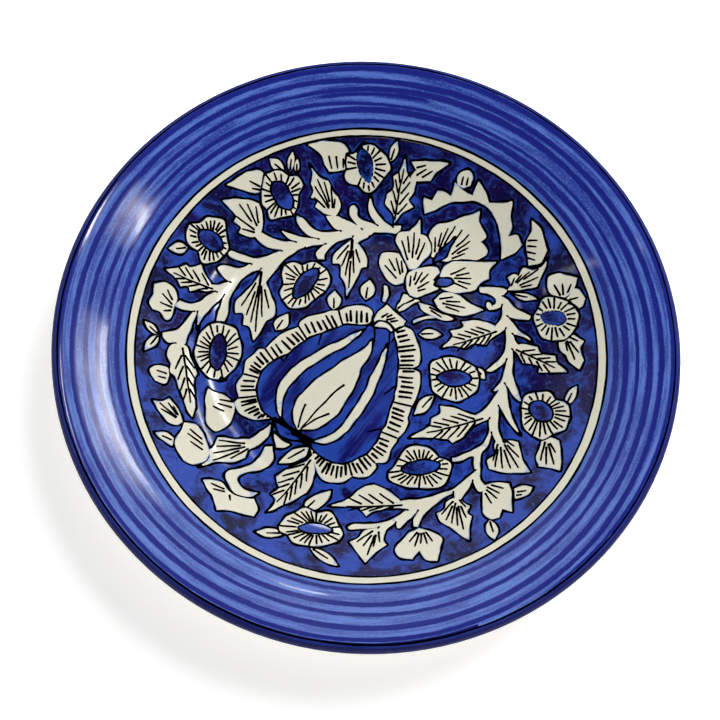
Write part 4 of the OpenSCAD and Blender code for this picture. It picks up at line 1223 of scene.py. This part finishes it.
def lip_look():
    """Navy over the lip, lighter along its crest, where the glaze wears thin and a painted highlight stands
    for the crest's reflection.
    """
    look = Look("navy lip", coat=0.3)
    r = look.radius()
    base = look.mix(look.noise(1, 3, 0.6, at=look.round_place(20, 0.8)), rgb(14, 14, 70), rgb(28, 34, 118))
    crest = look.times(look.ramp(r, 131.9, 132.5), look.ramp(r, 133.6, 133.0))
    # the lighter crest is partly glaze worn thin and partly a painted highlight of the crest's reflection
    crest_wear_and_highlight = look.times(crest, look.ramp(look.noise(1, 2, 0.5, at=look.round_place(30, 3)), 0.2, 0.6))
    base = look.mix(look.times(crest_wear_and_highlight, 0.6), base, rgb(48, 66, 152))
    return look.colour(base)


def brown_look():
    """Brown paint that thins to blue at its sides."""
    look = Look("brown line")
    base = look.mix(look.noise(1, 3, 0.6, at=look.round_place(12, 0.6)), rgb(56, 44, 92), rgb(104, 84, 118))
    return look.colour(look.mix(look.ramp(look.edge(), 0.5, 1.0), base, rgb(44, 50, 132)))


def back_look():
    """Clear glaze over the cream back, with the ragged blue that ran over the lip."""
    look = Look("back glaze", rough=0.35)
    r = look.radius()
    base = look.mix(look.noise(26, 3), rgb(196, 188, 164), rgb(210, 204, 184))
    ragged = look.math("ADD", r, look.times(look.noise(1, 3, 0.6, at=look.round_place(9, 6)), 6.0))
    blue = look.ramp(ragged, 133.0, 133.8)
    return look.colour(look.mix(blue, base, rgb(48, 62, 150)))


def slip_look():
    """Matt cream slip."""
    look = Look("cream slip", rough=0.75, coat=0.0, waves=0.03)
    return look.colour(look.mix(look.noise(12, 4), rgb(222, 214, 192), rgb(236, 230, 212)))


def clay_look():
    """Sandy bare clay at the foot."""
    look = Look("bare clay", rough=0.85, coat=0.0, waves=0.0)
    base = look.mix(look.noise(9, 4), rgb(206, 178, 142), rgb(224, 200, 168))
    base = look.mix(look.times(look.ramp(look.noise(0.9, 3, 0.7), 0.55, 0.75), 0.5), base,
                    rgb(176, 144, 110))
    bump = look.tree.nodes.new("ShaderNodeBump")
    bump.inputs["Distance"].default_value = 0.05 * MM
    look.tree.links.new(look.noise(0.8, 4, 0.6), bump.inputs["Height"])
    look.tree.links.new(bump.outputs[0], look.surface.inputs["Normal"])
    return look.colour(base)


# --- Putting the plate together -------------------------------------------------------------------------
paint_fruit()
paint_vines()
paint_large_leaves()
paint_small_leaves()
paint_buds()
paint_flowers()
paint_crown()

CREAM, COBALT, INKED = cream_look(), cobalt_look("cobalt ground"), ink_look("black ink")
WASH, NAVY = wash_look(), stroke_look()

make("cobalt_ground", [ground_film()], COBALT, ["well_cobalt"])
make("pod_cream", paint["fruit"], CREAM, ["fruit_border", "fruit_crescents"])
make("pod_cobalt", paint["fruit_blue"], cobalt_look("cobalt of the fruit", True))
make("vine_stems", paint["vine"], CREAM, ["vines"])
make("leaf_sprays", paint["leaf"], CREAM, ["leaves"])
make("round_flowers", paint["flower"], CREAM, ["flowers"])
make("crown_petals", paint["crown"], CREAM, ["crown_flower"])
make("flower_eyes", paint["eye"], COBALT)
make("ink_outlines", paint["outline"], ink_look("bleeding ink", True), ["flower_ink"])
make("ink_strokes", paint["stroke"], INKED)
make("ink_hatching", paint["hatch"], INKED)

wash_inner, wash_outer = (np.full(len(TURN), r) for r in WASH_R)
make("rim_wash_coat", [band(wash_inner, wash_outer, 0.0, -COAT, 22)], WASH, ["rim_wash"])
# the two edges of the cream ring, which was brushed on a little off centre
inner = RING_R + by_angle([(0, -1.6), (90, -0.2), (180, -1.7), (270, -0.6), (360, -1.6)], TURN)
outer = RING_R + by_angle([(0, 1.4), (90, 1.8), (180, 1.1), (255, 2.2), (330, 1.7), (360, 1.4)], TURN)
make("cream_ring", [band(inner - 0.4, outer + 0.5, 0.02, -COAT, 7)], CREAM, ["cream_band"])
make("ring_line_outer", [ring_line(list(zip(TURN, outer + 0.45)), 0.95, 0.06, 11, 1.0)], INKED,
     ["band_line_outer"])
make("ring_line_inner", [ring_line(list(zip(TURN, inner - 0.35)), 0.85, 0.06, 13, 2.0)], INKED,
     ["band_line_inner"])

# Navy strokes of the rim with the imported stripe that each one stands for. The first closes on itself, the
# second fades out, and the long ones after them wind inward, each into the start of the one inside it.
strokes = [("rim_stripe_1", [(0, 108.0, 2.5, 0.8), (90, 108.0, 2.0, 0.8), (180, 108.0, 2.0, 0.8),
                             (270, 108.0, 2.0, 0.7), (360, 108.0, 2.5, 0.8)]),
           ("rim_stripe_2", [(0, 112.1, 2.4, 1.0), (90, 112.6, 2.7, 1.0), (180, 112.0, 1.0, 0.9),
                             (215, 111.7, 0.8, 0.6), (240, 111.5, 0.5, 0.0)]),
           ("rim_stripe_3", [(0, 116.8, 1.2, 0.9), (90, 115.0, 1.0, 0.8), (117, 116.4, 1.6, 0.9),
                             (180, 115.75, 1.5, 0.9), (270, 114.5, 2.0, 1.0), (360, 112.1, 2.4, 1.0)]),
           (None, [(78, 119.2, 0.6, 0.0), (86, 119.2, 1.5, 0.8), (104, 119.2, 1.5, 0.8),
                   (112, 119.2, 0.8, 0.0)]),
           ("rim_stripe_4", [(0, 121.8, 2.4, 1.0), (80, 121.6, 3.0, 0.9), (117, 121.2, 1.6, 0.7),
                             (180, 120.65, 1.7, 0.9), (270, 119.0, 1.4, 0.9), (360, 116.8, 1.2, 0.9)]),
           ("rim_stripe_5", [(0, 126.5, 2.1, 1.0), (90, 124.75, 2.5, 1.0), (117, 125.8, 2.0, 0.9),
                             (180, 125.9, 2.2, 1.0), (270, 124.85, 2.3, 1.0), (360, 121.8, 2.4, 1.0)]),
           ("rim_stripe_6", [(0, 131.1, 1.3, 1.0), (90, 130.15, 2.7, 1.0), (180, 130.75, 1.5, 1.0),
                             (270, 130.05, 1.5, 1.0), (360, 126.5, 2.1, 1.0)]),
           (None, [(296, 131.2, 0.3, 0.0), (320, 131.0, 1.0, 0.8), (360, 131.1, 1.3, 1.0)])]
for i, (node, stations) in enumerate(strokes):
    stroke = sweep(stations, 0.04 + 0.002 * i)
    make(f"rim_stroke_{i + 1}", [stroke], NAVY, [node] if node else ())
lip_line = ring_line([(0, LIP_LINE_R), (180, LIP_LINE_R - 0.05), (360, LIP_LINE_R)], 0.8, 0.06, 7, 3.0)
make("lip_brown_line", [lip_line], brown_look(), ["lip_line"])

looks = {"lip_glaze": lip_look(), "back_glaze": back_look(), "slip": slip_look(), "clay": clay_look()}
carried = {"clay_body": "clay", "foot_ring": "clay", "face_slip": "slip", "back_slip": "slip",
           "foot_well_slip": "slip", "lip_glaze": "lip_glaze", "back_glaze": "back_glaze",
           "foot_well_glaze": "back_glaze"}
for node, look in carried.items():
    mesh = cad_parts[node].data
    mesh.materials.clear()
    mesh.materials.append(looks[look])


# --- Floor, light and camera ----------------------------------------------------------------------------
def towards(azimuth, elevation):
    """The direction of a light, from its turn and height in degrees."""
    a, e = math.radians(azimuth), math.radians(elevation)
    return Vector((math.cos(e) * math.cos(a), math.cos(e) * math.sin(a), math.sin(e)))


def area_light(name, first, last, width, radiance, distance):
    """A flat light facing the plate, from one direction to another. Its width is in degrees too."""
    start, end = towards(*first), towards(*last)
    way = (start + end).normalized()
    along = end - start if first != last else way.orthogonal()
    along = (along - along.dot(way) * way).normalized()
    data = bpy.data.lights.new(name, "AREA")
    data.shape = "RECTANGLE"
    data.size_y = math.radians(width) * distance
    data.size = max((end - start).length * distance, data.size_y)
    data.energy = radiance * math.pi * data.size * data.size_y
    lamp = bpy.data.objects.new(name, data)
    facing = Matrix((along, way.cross(along), way)).transposed().to_4x4()
    lamp.matrix_world = Matrix.Translation(way * distance) @ facing
    bpy.context.scene.collection.objects.link(lamp)
    return lamp


FLOOR = 3.0           # half the side of the white floor, in metres
FLOOR_GLOW = 0.52     # light of its own, which keeps the floor white
floor_mesh = bpy.data.meshes.new("floor")
corners = [(-FLOOR, -FLOOR, 0), (FLOOR, -FLOOR, 0), (FLOOR, FLOOR, 0), (-FLOOR, FLOOR, 0)]
floor_mesh.from_pydata(corners, [], [(0, 1, 2, 3)])
floor = bpy.data.objects.new("floor", floor_mesh)
bpy.context.scene.collection.objects.link(floor)
floor_look = Look("floor", rough=0.8, coat=0.0, waves=0.0)
floor_look.surface.inputs["Emission Color"].default_value = (1, 1, 1, 1)
floor_look.surface.inputs["Emission Strength"].default_value = FLOOR_GLOW
whites = floor_look.mix(floor_look.noise(300, 1), rgb(248, 248, 248), rgb(250, 250, 250))
floor_mesh.materials.append(floor_look.colour(whites))

world = bpy.data.worlds.new("studio")
world.use_nodes = True
bpy.context.scene.world = world
nodes, links = world.node_tree.nodes, world.node_tree.links
# the light of the studio fades from its brightest near the horizon to nearly none overhead
height = nodes.new("ShaderNodeSeparateXYZ")
links.new(nodes.new("ShaderNodeTexCoord").outputs["Generated"], height.inputs[0])
fade = nodes.new("ShaderNodeMapRange")
fade.interpolation_type = "SMOOTHSTEP"
links.new(height.outputs["Z"], fade.inputs["Value"])
for socket, value in (("From Min", 0.45), ("From Max", 0.88), ("To Min", 0.66), ("To Max", 0.04)):
    fade.inputs[socket].default_value = value
links.new(fade.outputs["Result"], nodes["Background"].inputs["Strength"])
nodes["Background"].inputs["Color"].default_value = (0.98, 0.99, 1.0, 1)

# one broad soft light, behind and to the right, that leaves no highlight of its own
key = area_light("key", (50, 56), (50, 56), 30, 9.0, 1.5)
key.visible_glossy = False
# Light, directions of its two ends (turn and height in degrees), width in degrees and radiance
glints = [("tube", (37, 51), (63, 40), 1.0, 18),
          ("cove_top", (37.5, 69.5), (39, 65), 1.5, 44),
          ("cove_foot", (54, 59.5), (65, 58.5), 1.5, 36),
          ("cove_tail", (64, 59), (76, 57), 2.6, 5),
          ("flower_glow", (83, 34.5), (89, 33.5), 2.4, 12),
          ("tube_glow", (35, 52), (65, 38), 4.5, 2.6),
          ("tube_end", (14.5, 61.2), (17.5, 58.8), 0.7, 34),
          ("tube_end_glow", (12, 63), (21, 57), 3.5, 3.4),
          ("patch", (25, 38), (27, 38), 1.2, 26),
          ("haze", (90, 72), (95, 71), 1.6, 1.2),
          ("slit_near", (155, 68), (159, 66), 0.5, 8),
          ("slit_far", (178, 52), (183, 49), 0.5, 8)]
GLINT_DISTANCE = 8.0  # metres
for name, first, last, width, radiance in glints:
    area_light(name, first, last, width, radiance, GLINT_DISTANCE).visible_diffuse = False

scene = bpy.context.scene
scene.view_settings.view_transform = "Standard"
camera_data = bpy.data.cameras.new("camera")
camera_data.lens = 81.85          # millimetres, on a sensor 36 mm wide
camera_data.sensor_width = 36
camera_data.shift_x, camera_data.shift_y = -0.0119, -0.0338
camera = bpy.data.objects.new("camera", camera_data)
tilt, turn = math.radians(20.6), math.radians(6.76)
CAMERA_DISTANCE = 0.7             # metres, from the middle of the plate at the height of the lip
aim = Vector((0, 0, cad_box[1].z))
place = aim + CAMERA_DISTANCE * Vector((0, -math.sin(tilt), math.cos(tilt)))
camera.matrix_world = (Matrix.Translation(place) @ Matrix.Rotation(tilt, 4, "X")
                       @ Matrix.Rotation(turn, 4, "Z"))
scene.collection.objects.link(camera)
scene.camera = camera
